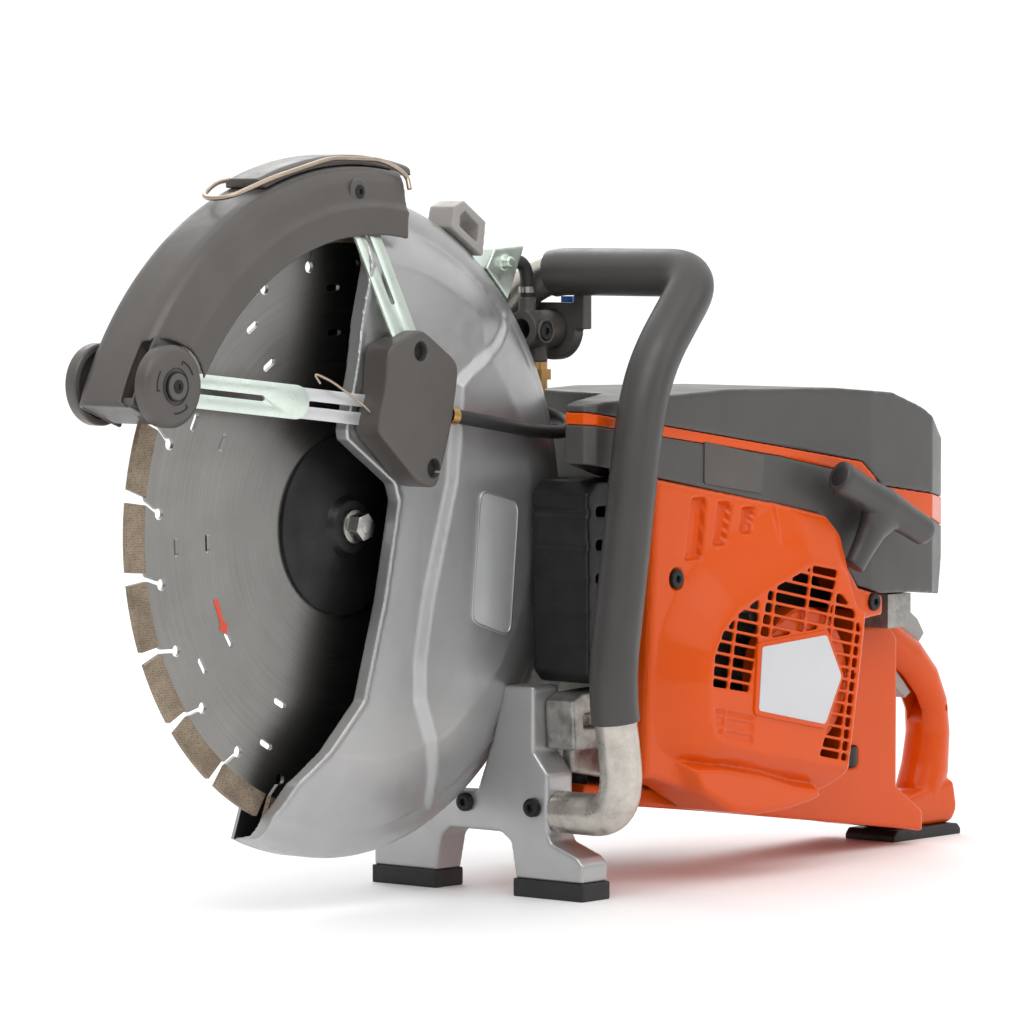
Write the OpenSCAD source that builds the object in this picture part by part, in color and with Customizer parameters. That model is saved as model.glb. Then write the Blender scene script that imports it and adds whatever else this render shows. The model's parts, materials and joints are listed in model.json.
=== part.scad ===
/* [Blade] */
// Height of the blade axis above the ground
axis_z = 250; // [245:1:255]
// Outer radius of the diamond segments
blade_r = 200; // [190:1:200]
// Radius where the segments are welded to the steel core
core_r = 184; // [176:1:186]
// Number of diamond segments
segment_count = 24; // [12:12:24]
// Thickness of the steel core
core_t = 2.8; // [2.4:0.1:3.2]
// Thickness of the diamond segments
segment_t = 3.6; // [3.4:0.1:4]
// Radius of the blade flanges
flange_r = 58; // [50:1:60]

/* [Guards] */
// Outer radius of the main blade guard
guard_r = 216; // [214:1:218]
// Outer radius of the front guard
front_r = 234; // [232:1:236]
// Wall thickness of the guards
guard_t = 2.5; // [2:0.1:3]
// Radius of the front guard rollers
roller_r = 26; // [22:1:26]
// Width of the front guard rollers
roller_w = 12; // [10:1:12]

/* [Handles] */
// Outer radius of the front handle tube
tube_r = 14; // [12:0.5:14]
// Outer radius of the grip sleeve
grip_r = 16; // [15.5:0.5:16]
// Width of the rear handle across the palm
rear_grip_w = 28; // [24:1:32]

/* [Engine] */
// Rope radius of the starter pulley
rope_r = 38; // [30:1:40]
// Radius of the flywheel
flywheel_r = 52; // [50:1:60]
// Bore radius of the cylinder
bore_r = 28; // [24:1:30]

/* [Hidden] */
$fn = 48;

// The model is drawn with the blade axis at x = 0 and y = 0, then moved so that the origin
// lies at the middle of its footprint.
centre_x = 209.3;
centre_y = -22.5;

// Running clearance between a shaft and its hole
running_gap = 0.05;

segment_step = 360 / segment_count;
keyhole_r = 171;
crank_x = 345;
crank_z = 135;
orange = "#e8602c";
dark = "#55524f";
black = "#1d1c1c";
silver = "#b4b5b4";
zinc = "#c9d3cc";
raw = "#a9a7a3";
grip = "#4a4745";

// ---- helpers ----

module place() translate([-centre_x, -centre_y, 0]) children();

// Side view outline (x, z) extruded between two planes across the machine
module slab(y_low, y_high) {
    translate([0, y_high, 0]) rotate([90, 0, 0]) linear_extrude(y_high - y_low) children();
}

// Outline given in front view (y, z) extruded between two planes along the machine
module front_slab(x_low, x_high) {
    translate([x_low, 0, 0]) rotate([90, 0, 90]) linear_extrude(x_high - x_low) children();
}

// Round bar across the machine
module cross_rod(x, z, y_low, y_high, r) {
    translate([x, y_high, z]) rotate([90, 0, 0]) cylinder(h = y_high - y_low, r = r);
}

// Body of revolution about a cross axis, from points of radius and y
module turned(points, x = 0, z = axis_z, from = 0, sweep = 360) {
    translate([x, 0, z]) rotate([90, 0, 0]) rotate([0, 0, from])
        rotate_extrude(angle = sweep, $fn = 96)
            polygon([for (p = points) [p[0], -p[1]]]);
}

// Point at a radius and an angle about the blade axis, in side view
function around(r, a) = [r * cos(a), axis_z + r * sin(a)];
function unit(v) = v / norm(v);
function dir_at(p, i) = unit(p[min(i + 1, len(p) - 1)] - p[max(i - 1, 0)]);

// Side vectors carried along a path without twist
function carried(p, i = 0, last = [0, 0, 1]) = i == len(p) ? [] :
    let (
        d = dir_at(p, i),
        raw_side = last - d * (last * d),
        side = norm(raw_side) < 0.01 ? unit(cross(d, [1, 0.3, 0.2])) : unit(raw_side)
    ) concat([side], carried(p, i + 1, side));

// Path with each inner corner rounded by a quadratic curve of the given cut length
function rounded_path(p, cut, steps) = [
    p[0],
    for (i = [1 : len(p) - 2]) for (k = [0 : steps])
        let (
            c = is_list(cut) ? cut[i] : cut,
            a = p[i] + unit(p[i - 1] - p[i]) * min(c, norm(p[i - 1] - p[i]) * 0.48),
            b = p[i] + unit(p[i + 1] - p[i]) * min(c, norm(p[i + 1] - p[i]) * 0.48),
            t = k / steps
        ) a * (1 - t) * (1 - t) + p[i] * 2 * t * (1 - t) + b * t * t,
    p[len(p) - 1]
];

// Solid or hollow round bar along a path
module piped(path, r, sides, hollow_r = 0) {
    side = carried(path);
    n = len(path);
    function ring(i, radius) = let (d = dir_at(path, i), u = side[i], v = cross(d, u))
        [for (k = [0 : sides - 1]) let (a = 360 * k / sides) path[i] + u * radius * cos(a)
            + v * radius * sin(a)];
    outer = [for (i = [0 : n - 1]) each ring(i, r)];
    inner = hollow_r > 0 ? [for (i = [0 : n - 1]) each ring(i, hollow_r)] : [];
    shift = n * sides;
    outer_faces = [for (i = [0 : n - 2]) for (k = [0 : sides - 1])
        let (a = i * sides + k, b = i * sides + (k + 1) % sides) [a, b, b + sides, a + sides]];
    inner_faces = [for (i = [0 : n - 2]) for (k = [0 : sides - 1])
        let (a = shift + i * sides + k, b = shift + i * sides + (k + 1) % sides)
            [a + sides, b + sides, b, a]];
    last = (n - 1) * sides;
    solid_caps = [
        [for (k = [0 : sides - 1]) sides - 1 - k],
        [for (k = [0 : sides - 1]) last + k]
    ];
    ring_caps = [for (k = [0 : sides - 1]) let (m = (k + 1) % sides) each [
        [m, k, shift + k, shift + m],
        [last + k, last + m, shift + last + m, shift + last + k]
    ]];
    faces = hollow_r > 0 ? concat(outer_faces, inner_faces, ring_caps)
        : concat(outer_faces, solid_caps);
    polyhedron(concat(outer, inner), [for (f = faces) [for (k = [len(f) - 1 : -1 : 0]) f[k]]],
        convexity = 6);
}

// Round-ended bar outline between two side view points
module bar_outline(a, b, w) {
    d = b - a;
    translate(a) rotate(atan2(d[1], d[0])) {
        translate([0, -w / 2]) square([norm(d), w]);
        circle(w / 2);
        translate([norm(d), 0]) circle(w / 2);
    }
}

// ---- blade ----

core_low = (segment_t - core_t) / 2;
core_high = core_low + core_t;

// One gullet: a round end, a narrow slot and a wedge that widens to the rim
module gullet_outline(extra = 0) {
    translate([-keyhole_r * cos(extra), keyhole_r * sin(extra)]) circle(3.8);
    polygon([
        [-keyhole_r, -1.4], [-keyhole_r, 1.4],
        [-core_r + 1, 7.4], [-core_r - 1, 12.4], [-core_r - 1, 4.6], [-core_r + 1, 4.6]
    ]);
}

module blade_core() {
    color("#9c9a97") place() translate([0, core_high, axis_z]) rotate([90, 0, 0])
        linear_extrude(core_t) difference() {
            circle(core_r, $fn = 180);
            circle(12.75);
            for (i = [0 : segment_count - 1]) rotate(-5 - i * segment_step) gullet_outline();
            for (i = [0 : 11]) rotate(-27.5 - i * 30)
                for (slot_r = [126, 155]) bar_outline([-slot_r, -4], [-slot_r, 4], 4.4);
        }
}

// Wedge between two neighbouring segments
module segment_gap() {
    polygon([[-core_r + 4, 4.6], [-core_r + 4, 9], [-blade_r - 2, 14.6], [-blade_r - 2, 5.6]]);
}

module blade_segments() {
    color("#8a7868") place() translate([0, segment_t, axis_z]) rotate([90, 0, 0])
        linear_extrude(segment_t) difference() {
            circle(blade_r, $fn = 180);
            circle(core_r, $fn = 180);
            for (i = [0 : segment_count - 1]) rotate(-5 - i * segment_step) segment_gap();
        }
}

module blade_bushing() {
    color(silver) place()
        turned([[8.05, core_low], [12.75, core_low], [12.75, core_high], [8.05, core_high]]);
}

module outer_flange() {
    color("#2b2b2c") place() turned([
        [8.05, core_low], [flange_r - 12, core_low - 1], [flange_r - 10, core_low],
        [flange_r, core_low], [flange_r, -2.2], [flange_r - 9, -3.4], [20, -5], [17, -10.5],
        [8.05, -10.5]
    ]);
}

module inner_flange() {
    color("#3a3a3b") place() turned([
        [8.05, core_high], [flange_r - 12, core_high], [flange_r - 11, core_high],
        [flange_r, core_high], [flange_r, 6], [24, 12], [8.05, 12]
    ]);
}

module arbor_bolt() {
    color("#3c3d3e") place() {
        turned([[0, -13], [11, -13], [11, -10.5], [4.9, -10.5], [4.9, 18], [0, 18]]);
        translate([0, -13, axis_z]) rotate([90, 0, 0]) rotate(14) cylinder(h = 9, r = 9.2, $fn = 6);
        cross_rod(0, axis_z, -22.6, -22, 4);
    }
}

module spindle() {
    color(silver) place() turned([
        [4.95, -9.5], [8, -9.5], [8, 12], [10, 12], [10, 84], [0, 84], [0, 20], [4.95, 20]
    ]);
}

module driven_pulley() {
    color(raw) place() turned([
        [10.02, 62], [60, 62], [60, 64], [57, 66], [57, 76], [60, 78], [60, 80], [10.02, 80]
    ]);
}

// ---- cutting arm and belt drive ----

bearing_r = 23.5;

module spindle_bearings() {
    color(silver) place() for (y = [22, 42]) turned([
        [10 + running_gap, y], [bearing_r, y], [bearing_r, y + 14], [10 + running_gap, y + 14]
    ]);
}

module arm_outline(extra = 0) {
    hull() {
        translate([0, axis_z]) circle(42 + extra, $fn = 32);
        translate([crank_x, crank_z]) circle(58 + extra, $fn = 32);
    }
}

module cutting_arm() {
    color(raw) place() difference() {
        union() {
            slab(38, 58) arm_outline();
            cross_rod(0, axis_z, 13, 58, 32);
        }
        cross_rod(0, axis_z, 10, 22, 16);
        cross_rod(0, axis_z, 21.9, 70, bearing_r);
        cross_rod(crank_x, crank_z, 30, 70, 24);
        slab(30, 45) bar_outline([95, 218], [255, 165], 46);
        slab(52, 70) bar_outline([60, 230], [265, 162], 56);
    }
}

module belt_cover() {
    color(dark) place() difference() {
        slab(58, 95) arm_outline(28);
        slab(57, 92) arm_outline(25);
    }
}

// Belt runs round both pulleys, one loop
belt_y = [66.5, 75.5];
pulley_small = 32;
module drive_belt() {
    color(black) place() slab(belt_y[0], belt_y[1]) difference() {
        hull() {
            translate([0, axis_z]) circle(61.5, $fn = 96);
            translate([crank_x, crank_z]) circle(pulley_small + 4.5, $fn = 96);
        }
        hull() {
            translate([0, axis_z]) circle(57.4, $fn = 96);
            translate([crank_x, crank_z]) circle(pulley_small + 0.4, $fn = 96);
        }
    }
}

module drive_pulley() {
    color(silver) place() turned([
        [9.1, 64], [38, 64], [38, 66], [pulley_small, 66.2], [pulley_small, 75.8], [38, 76],
        [38, 78], [9.1, 78]
    ], crank_x, crank_z);
}

module clutch_shoes() {
    color("#6d675f") place() difference() {
        turned([[9.1, 80], [34, 80], [34, 88], [9.1, 88]], crank_x, crank_z);
        for (a = [0, 120, 240]) translate([crank_x, 84, crank_z]) rotate([0, a, 0])
            translate([24, 0, 0]) cube([24, 10, 3], center = true);
    }
}

module crankshaft() {
    color(silver) place() {
        turned([[0, -96], [8, -96], [8, -66], [11, -64], [11, -44], [0, -44]], crank_x, crank_z);
        turned([[0, -4], [11, -4], [11, 30], [9, 32], [9, 90], [0, 90]], crank_x, crank_z);
        for (y = [-44, -13]) slab(y, y + 9) difference() {
            translate([crank_x, crank_z]) circle(34);
            translate([crank_x + 20, crank_z + 26]) circle(14);
        }
        cross_rod(crank_x, crank_z - 20, -36, -12, 8);
    }
}

module flywheel() {
    color(raw) place() {
        turned([[8, -82], [20, -82], [20, -74], [flywheel_r, -74], [flywheel_r, -69], [8, -69]],
            crank_x, crank_z);
        for (i = [0 : 11]) translate([crank_x, 0, crank_z]) rotate([0, i * 30, 0])
            translate([26, -88, -1.2]) cube([flywheel_r - 27, 15, 2.4]);
    }
}

module crankcase() {
    color(raw) place() {
        difference() {
            slab(-64, 30) union() {
                translate([crank_x, crank_z]) circle(60);
                polygon([
                    [214, 82], [300, 78], [345, 140], [400, 180], [380, 195], [262, 191],
                    [236, 180], [214, 150]
                ]);
            }
            cross_rod(crank_x, crank_z, -52, 6, 40);
            slab(-58, 31) polygon([
                [224, 94], [276, 90], [280, 140], [262, 178], [246, 172], [227, 148]
            ]);
            cross_rod(crank_x, crank_z, -70, 40, 11 + running_gap);
            translate([crank_x - 8, -23, crank_z]) rotate([0, -6, 0]) cylinder(h = 90, r = bore_r + 3);
        }
        difference() {
            union() {
                slab(-82, -57.3) polygon([[140, 98], [138, 130], [150, 136], [183, 137], [183, 98]]);
                slab(-66.5, -57.3) polygon([
                    [155.5, 82], [155.5, 136], [224, 138], [232, 92], [200, 74]
                ]);
            }
            translate([150, -83, 112]) cube([18, 10, 10]);
        }
    }
}

cylinder_x = crank_x - 8;
module engine_cylinder() {
    color(raw) place() translate([cylinder_x, -23, crank_z]) rotate([0, -6, 0]) difference() {
        union() {
            translate([0, 0, 66]) cylinder(h = 88, r = 36);
            translate([0, 0, 50]) cylinder(h = 17, r = bore_r + 2.95);
            for (i = [0 : 8]) translate([-44, -44, 74 + i * 9]) cube([88, 88, 3]);
            translate([0, 0, 152]) cylinder(h = 12, r = 9);
        }
        translate([0, 0, 48]) cylinder(h = 90, r = bore_r + running_gap);
    }
}
module piston() {
    color(silver) place() translate([cylinder_x, -23, crank_z]) rotate([0, -6, 0]) difference() {
        translate([0, 0, 72]) cylinder(h = 40, r = bore_r);
        translate([0, 0, 70]) cylinder(h = 34, r = bore_r - 5);
    }
}

module muffler() {
    color("#262524") place() difference() {
        union() {
            slab(-92, -44) polygon([
                [150, 142], [142, 150], [140, 268], [150, 276], [184, 276], [184, 142]
            ]);
            slab(-63, -44) translate([183, 142]) square([23, 134]);
        }
        slab(-89, -47) polygon([
            [152, 145], [145, 152], [143.5, 265], [151, 273], [181, 273], [181, 145]
        ]);
        slab(-60, -47) translate([180, 145]) square([23, 128]);
        for (z = [165 : 22 : 255]) translate([136, -93, z]) cube([6, 50, 6]);
        for (z = [165 : 22 : 255]) translate([150, -94, z]) cube([30, 5, 6]);
    }
}

module carburettor() {
    color(silver) place() {
        translate([432, -44, 206]) cube([36, 38, 36]);
        cross_rod(450, 224, -58, -44, 14);
        // mounting block behind the starter cover
        translate([483, -84, 160.02]) cube([27, 64, 23.8]);
    }
}

module air_filter() {
    color("#3f4a44") place() slab(-66, 4) difference() {
        polygon([[440, 256], [446, 308], [498, 296], [536, 278], [536, 244], [512, 228]]);
        polygon([[452, 262], [456, 296], [494, 286], [524, 270], [524, 248], [508, 240]]);
    }
}

// ---- main blade guard ----

far_plate = [15, 18];
box_face = -56;
plate_y = -34;

// Side view outline of the part of the disc that the guard covers
module guard_region() {
    polygon([
        [-88, 20], [-90, 46], [-72, 88], [-17, 139], [3, 203], [17, 267], [13, 278], [-33, 308],
        [-34, 315], [-5, 422], [0, 480], [300, 480], [300, 0], [-60, 0]
    ]);
}

// Raised panel over the rear half of the near plate, and the blank label plate on it
panel_rise = 3.5;
module panel_region() {
    polygon([
        [75, 341], [73, 311], [69, 278], [57, 240], [45, 201], [37, 162], [37, 136], [49, 106],
        [64, 71], [260, 30], [260, 440], [163, 395], [148, 386], [119, 367], [85, 348]
    ]);
}
module raised_panel() {
    intersection() {
        turned([
            [20, plate_y - panel_rise], [150, plate_y - panel_rise], [195, -14 - panel_rise],
            [204, -11], [204, -9.5], [196, -13.5], [150, plate_y + 0.5], [20, plate_y + 0.5]
        ]);
        slab(-60, 0) panel_region();
    }
    slab(plate_y - panel_rise - 1.5, plate_y - panel_rise + 0.5)
        polygon([[94, 272], [134, 263], [125, 172], [84, 184]]);
}

module blade_guard() {
    color(silver) place() {
        raised_panel();
        guard_shell();
    }
}

module guard_shell() {
    difference() {
        intersection() {
            difference() {
                turned([
                    [0, plate_y], [150, plate_y], [196, -14], [guard_r - 3, -8], [guard_r, -4],
                    [guard_r, far_plate[1]], [0, far_plate[1]]
                ]);
                turned([
                    [0, plate_y + guard_t], [149, plate_y + guard_t], [195, -14 + guard_t],
                    [guard_r - 4, -6], [guard_r - guard_t, -3.5], [guard_r - guard_t, far_plate[0]],
                    [0, far_plate[0]]
                ]);
            }
            slab(-60, 40) guard_region();
        }
        cross_rod(0, axis_z, 10, 40, 32 + running_gap);
    }
}

module guard_handle() {
    color("#8f8a85") place() slab(-10, 12) difference() {
        polygon([around(217.3, 63), [102, 457], [112, 461], [134, 447], around(217.3, 53)]);
        polygon([around(222, 61), [108, 451], [113, 454], [127, 444], around(222, 55.5)]);
    }
}

module guard_clamp() {
    color(zinc) place() difference() {
        union() {
            slab(-6, 14) polygon([
                around(216.8, 50), around(232, 50.5), [178, 431], [176, 426], around(216.8, 42)
            ]);
            cross_rod(158, 420, -12, 18, 4);
        }
        slab(-3, 11) polygon([around(219, 48), around(228, 49), [168, 424], around(219, 44)]);
    }
}

// Housing of the link pivots on the near plate
module box_outline() {
    polygon([
        [-16, 367], [14, 378], [20, 377], [53, 356], [52, 343], [46, 315], [33, 278], [27, 275],
        [14, 279], [-27, 314], [-18, 341]
    ]);
}

upper_post = [16, 364];
lower_post = [5, 324];
module pivot_box() {
    color(dark) place() {
        difference() {
            slab(box_face, plate_y) box_outline();
            slab(box_face + 5, plate_y - 2) polygon([
                [-13, 363], [14, 374], [20, 373], [49, 354], [47, 340], [42, 316], [30, 284],
                [16, 284], [-23, 316], [-14, 341]
            ]);
            // mouths for the links
            slab(box_face + 5, plate_y - 2) polygon([[-30, 400], [-13, 344], [49, 344], [90, 400]]);
            slab(box_face + 5, plate_y + 1) polygon([
                [-60, 300], [-20, 305], [-4, 324], [-10, 362], [-60, 362]
            ]);
            for (p = [upper_post, [29, 288]]) cross_rod(p[0], p[1], box_face - 1, box_face + 4, 5.2);
        }
        for (p = [upper_post, lower_post]) cross_rod(p[0], p[1], box_face + 4.9, plate_y - 1.9, 3);
        cross_rod(29, 288, box_face + 4, plate_y - 1, 6);
    }
}

// A strip from one point to another, thin across the machine and leaning towards the box
module strip(a, b, ya, yb, w, t, slot, slot_w, holes) {
    run = norm(b - a);
    lean = atan2(yb - ya, run);
    translate([a[0], ya, a[1]]) rotate([0, -atan2(b[1] - a[1], b[0] - a[0]), 0])
        rotate([0, 0, lean]) rotate([90, 0, 0]) translate([0, 0, -t / 2]) linear_extrude(t)
            difference() {
                bar_outline([0, 0], [run / cos(lean), 0], w);
                bar_outline([slot[0], 0], [slot[1], 0], slot_w);
                for (h = holes) translate([h[0], 0]) circle(h[1]);
            }
}

front_pin = [-9, 467];
upper_end = [-8.5, 465.05];
axle = [-189, 346];
module upper_link() {
    color(zinc) place()
        strip(upper_post, upper_end, -46.2, -17.1, 24, 2, [28, 88], 7, [[0, 3.6], [107.9, 6.5]]);
}

module lower_link_inner() {
    color("#a9b6ae") place() translate([0, 1.3, 0])
        strip(lower_post, [-84, 334.1], -43.5, -28.8, 20, 1.8, [16, 72], 6, [[0, 3.2]]);
}

module lower_link_outer() {
    color(zinc) place() translate([0, -1.3, 0])
        strip(axle, [-78, 333.4], -11.5, -29.8, 22, 1.8, [28, 96], 6, [[0, 7]]);
}

module link_spring() {
    color("#8d8578") place() piped(rounded_path([
        [-60, -36.4, 345], [-66, -35.8, 352], [-52, -39.5, 346], [-30, -46, 331], [-24, -47, 326]
    ], 6, 5), 0.8, 8);
}

// ---- front guard ----

module front_guard() {
    color(dark) place() {
        difference() {
            turned([
                [189, -30], [front_r - 1, -18], [front_r, -16], [front_r, 28], [190, 28],
                [190, 28 - guard_t], [front_r - guard_t, 28 - guard_t], [front_r - guard_t, -15.4],
                [189, -27.4]
            ], 0, axis_z, 80, 79);
            cross_rod(axle[0], axle[1], -40, -10.5, roller_r + 3);
            cross_rod(axle[0], axle[1], 10, 40, 5.05);
            slab(-40, -10) polygon([
                axle, [-225, 300], [-150, 300], around(186, 150), around(206, 149.5)
            ]);
        }
        for (y = [[-9.8, -5.8], [21, 25.6]]) slab(y[0], y[1]) difference() {
            polygon([
                around(front_r - 1, 148), around(front_r - 1, 158.6), around(203, 159),
                around(203, 147)
            ]);
            translate(axle) circle(5.05);
        }
        cross_rod(front_pin[0], front_pin[1], -21.5, -11.5, 3);
        cross_rod(front_pin[0], front_pin[1], -12.9, -11.5, 8);
    }
}

module guard_pad() {
    color("#5d5a57") place() turned([
        [front_r + 0.2, -12], [front_r + 5, -10], [front_r + 7, -6], [front_r + 7, 18],
        [front_r + 5, 22], [front_r + 0.2, 24]
    ], 0, axis_z, 76, 35);
}

module wire_bail() {
    color("#a79c8e") place() piped(rounded_path([
        [around(222, 80)[0], -26, around(222, 80)[1]],
        [around(232, 80)[0], -22, around(232, 80)[1]],
        [around(239, 84)[0], -15, around(239, 84)[1]],
        [around(240, 96)[0], -15, around(240, 96)[1]],
        [around(240, 110)[0], -15, around(240, 110)[1]],
        [around(241, 118)[0], -6, around(241, 118)[1]],
        [around(241, 118)[0], 18, around(241, 118)[1]],
        [around(240, 112)[0], 27, around(240, 112)[1]],
        [around(236, 108)[0], 30, around(236, 108)[1]]
    ], 9, 5), 1.6, 8);
}

module roller_axle() {
    color("#3c3d3e") place() difference() {
        union() {
            cross_rod(axle[0], axle[1], -34.2, 44, 5);
            cross_rod(axle[0], axle[1], -34.2, -32.6, 9.5);
            cross_rod(axle[0], axle[1], 42.3, 44, 9.5);
        }
        cross_rod(axle[0], axle[1], -35, -30, 2.6);
    }
}

module roller(y) {
    place() turned([
        [5 + running_gap, y], [roller_r - 3, y], [roller_r, y + 3], [roller_r, y + roller_w - 1.5],
        [roller_r - 1.5, y + roller_w], [5 + running_gap, y + roller_w]
    ], axle[0], axle[1]);
}
module roller_left() {
    color("#454240") roller(-32.3);
}
module roller_right() {
    color("#454240") roller(30);
}

// ---- water feed ----

hose_route = [
    [53, -46, 322], [90, -50, 316], [140, -43, 309], [182, -35, 306], [210, -22, 309],
    [220, -5, 313], [220, 10, 317], [208, 26, 324], [196, 26, 345], [181, 25, 380],
    [176, 24, 404], [183, 17, 418], [193, 11, 421], [200, 10, 414], [200, 10, 396.2]
];
module water_hose() {
    color(black) place() piped(rounded_path(hose_route, 18, 4), 4.6, 10);
}

valve_z = 374;
valve_y = 10;
valve_r = 13;
module water_valve() {
    color(dark) place() difference() {
        union() {
            translate([194, valve_y, valve_z]) rotate([0, 90, 0]) cylinder(h = 47, r = valve_r);
            translate([200, valve_y, valve_z]) cylinder(h = 22, r = 6);
            translate([210, valve_y, 352]) cylinder(h = 16, r = 7.6);
        }
        translate([190, valve_y, valve_z]) rotate([0, 90, 0]) cylinder(h = 44, r = 7);
    }
}

module valve_lever() {
    color("#3b6fc4") place() {
        translate([241.4, valve_y, valve_z]) rotate([0, 90, 0]) cylinder(h = 5, r = 8);
        translate([242, valve_y - 5, valve_z]) cube([4, 10, 22]);
    }
}

module inlet_fitting() {
    color("#b08d4c") place() difference() {
        union() {
            translate([210, valve_y, 334]) cylinder(h = 18, r = 7.5);
            translate([210, valve_y, 340]) cylinder(h = 7, r = 10, $fn = 6);
            translate([210, valve_y, 324]) cylinder(h = 12, r = 6);
        }
        translate([210, valve_y, 320]) cylinder(h = 40, r = 4);
    }
}

// ---- front handle and stand ----

tube_route = [
    [140, -69.4, 57], [140, -126, 57], [127, -123.5, 146], [137, -123, 200], [157, -123, 322],
    [172, -123, 358], [222, -122, 413], [222, 16, 413], [206, 45, 380], [198, 46, 330], [186, 43, 244]
];
tube_cuts = [0, 40, 26, 30, 30, 24, 26, 26, 24, 24, 0];
tube_path = rounded_path(tube_route, tube_cuts, 7);
module front_handle() {
    color("#bdb9b2") place() piped(tube_path, tube_r, 20);
}

// The sleeve covers the tube from the end of the lower bend to the last straight run
module handle_grip() {
    color(grip) place() piped([for (i = [9 : 50]) tube_path[i]],
        grip_r, 20, tube_r + 0.15);
}

module handle_bracket() {
    color(dark) place() difference() {
        union() {
            translate([226, valve_y, valve_z]) rotate([0, 90, 0]) cylinder(h = 9, r = 21);
            translate([226, -18, valve_z]) cube([9, 32, 36]);
        }
        translate([190, valve_y, valve_z]) rotate([0, 90, 0]) cylinder(h = 60, r = valve_r + 0.03);
        translate([222, -60, 413]) rotate([-90, 0, 0]) cylinder(h = 100, r = grip_r + 0.3);
        translate([200, -9, 392]) cube([60, 60, 40]);
    }
}

module stand() {
    color(silver) place() difference() {
        front_slab(127, 154) polygon([
            [-99, 12], [-99, 24], [-94, 29], [-72, 37], [-69, 43], [-69, 82], [-57, 96],
            [-57, 140], [-31, 140], [-21, 104], [-13, 82], [-7, 67], [30, 66], [44, 50], [84, 26],
            [84, 12], [29, 12], [24, 36], [16, 42], [-28, 42], [-37, 36], [-41.5, 12]
        ]);
        front_slab(141, 170) polygon([[-54, 60], [-54, 134], [-46, 134], [-46, 60]]);
        for (y = [-57, 1.4]) translate([120, y, 60]) rotate([0, 90, 0]) cylinder(h = 50, r = 3.1);
    }
}

module rubber_mounts() {
    color(black) place() {
        translate([126, -100, 0]) cube([29, 60, 12]);
        translate([126, 28, 0]) cube([29, 57, 12]);
        slab(-42, 2) polygon([[548, 0], [548, 4], [552, 8], [626, 8], [630, 4], [630, 0]]);
        for (p = [[200, -30], [470, -55], [470, 10]]) translate([p[0], p[1], 62])
            cylinder(h = 14, r = 10);
    }
}

module torx_screw(r) {
    difference() {
        union() {
            cylinder(h = 3.5, r = r);
            translate([0, 0, -14]) cylinder(h = 14.5, r = 3);
        }
        translate([0, 0, 1]) cylinder(h = 4, r = r * 0.42, $fn = 6);
    }
}

module body_screws() {
    color("#2d2d2e") place() {
        for (y = [-57, 1.4]) translate([127, y, 60]) rotate([0, -90, 0]) torx_screw(6);
        for (p = [[220, 209], [439, 182]]) translate([p[0], -101, p[1]]) rotate([90, 0, 0])
            torx_screw(6);
    }
}

// ---- starter side ----

// Side outline of the starter cover, shrunk by d on every side
function cover_points(d = 0) = [
    [198 + d, 277 - d], [381 - d, 245 - d], [394 - d, 230 - d], [412 - d, 208 - d],
    [424 - d, 193 - d], [452 - d, 186 - d], [452 - d, 174 + d], [430 - d, 172 + d],
    [412 - d, 176 + d], [397 - d, 92], [392 - d, 62 + d], [371 - d, 54 + d], [345, 48 + d],
    [296, 45 + d], [257 + d, 56 + d], [232 + d, 67 + d], [186 + d, 78 + d]
];
// Raised field that holds the air intake
function field_points(d = 0) = [
    [347, 214 - d], [378 - d, 209 - d], [393 - d, 195 - d], [409 - d, 175 - d], [404 - d, 138],
    [391 - d, 73 + d], [252 + d, 98 + d], [240 + d, 106 + d], [236 + d, 130], [240 + d, 158 - d],
    [250 + d, 174 - d], [266, 186 - d], [308, 201 - d]
];
cover_y = -104;
field_y = -120;

intake_ribs = [-12, 16, 54.9, 92.1, 122.3, 148.4, 176];
bar_pitch = 8.25;
bar_w = 2.1;

// Openings between the crossed bars of the air intake
module intake_slots() {
    intersection() {
        polygon([
            [241, 137], [287, 129], [288, 164], [363, 170], [383.4, 135.6], [357.5, 82], [388, 76],
            [400, 138], [404, 171], [392, 190], [376, 205], [348, 210], [309, 197], [268, 182],
            [253, 171], [244, 156]
        ]);
        translate([235.7, 110.2]) rotate(-10.65) for (k = [-5 : 15], i = [0 : 5])
            translate([intake_ribs[i] + bar_w / 2, k * bar_pitch + bar_w / 2])
                square([intake_ribs[i + 1] - intake_ribs[i] - bar_w, bar_pitch - bar_w]);
    }
}
module badge_outline() {
    polygon([[282.6, 116], [361.5, 99.6], [382, 134.6], [364, 167.6], [286, 163]]);
}

module starter_cover() {
    color(orange) place() {
        difference() {
            union() {
                slab(cover_y, -68) polygon(cover_points());
                slab(field_y, cover_y + 1) polygon(field_points());
            }
            slab(cover_y + 3, -65) polygon(cover_points(3));
            slab(field_y + 3, cover_y + 4) polygon(field_points(3));
            slab(field_y - 1, field_y + 4) intake_slots();
            for (p = [[230, 221, 42], [260, 229, 29], [289, 236, 18]])
                slab(cover_y - 1, cover_y + 1.5)
                    polygon([[p[0], p[1]], [p[0] + 8, p[1] + p[2]], [p[0] + 22, p[1] + p[2] - 1],
                        [p[0] + 17, p[1] + 1]]);
            for (p = [[220, 209], [439, 182]]) cross_rod(p[0], p[1], -120, -60, 3.1);
            for (p = [[220, 209], [439, 182]]) cross_rod(p[0], p[1], -120, -101, 6.5);
        }
        cross_rod(crank_x, crank_z, field_y + 2, -100, 6);
        slab(field_y - 1, field_y + 0.5) badge_outline();
        difference() {
            for (p = [[220, 209], [439, 182]]) cross_rod(p[0], p[1], -101, -86, 8);
            for (p = [[220, 209], [439, 182]]) cross_rod(p[0], p[1], -110, -60, 3.1);
        }
    }
}

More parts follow.
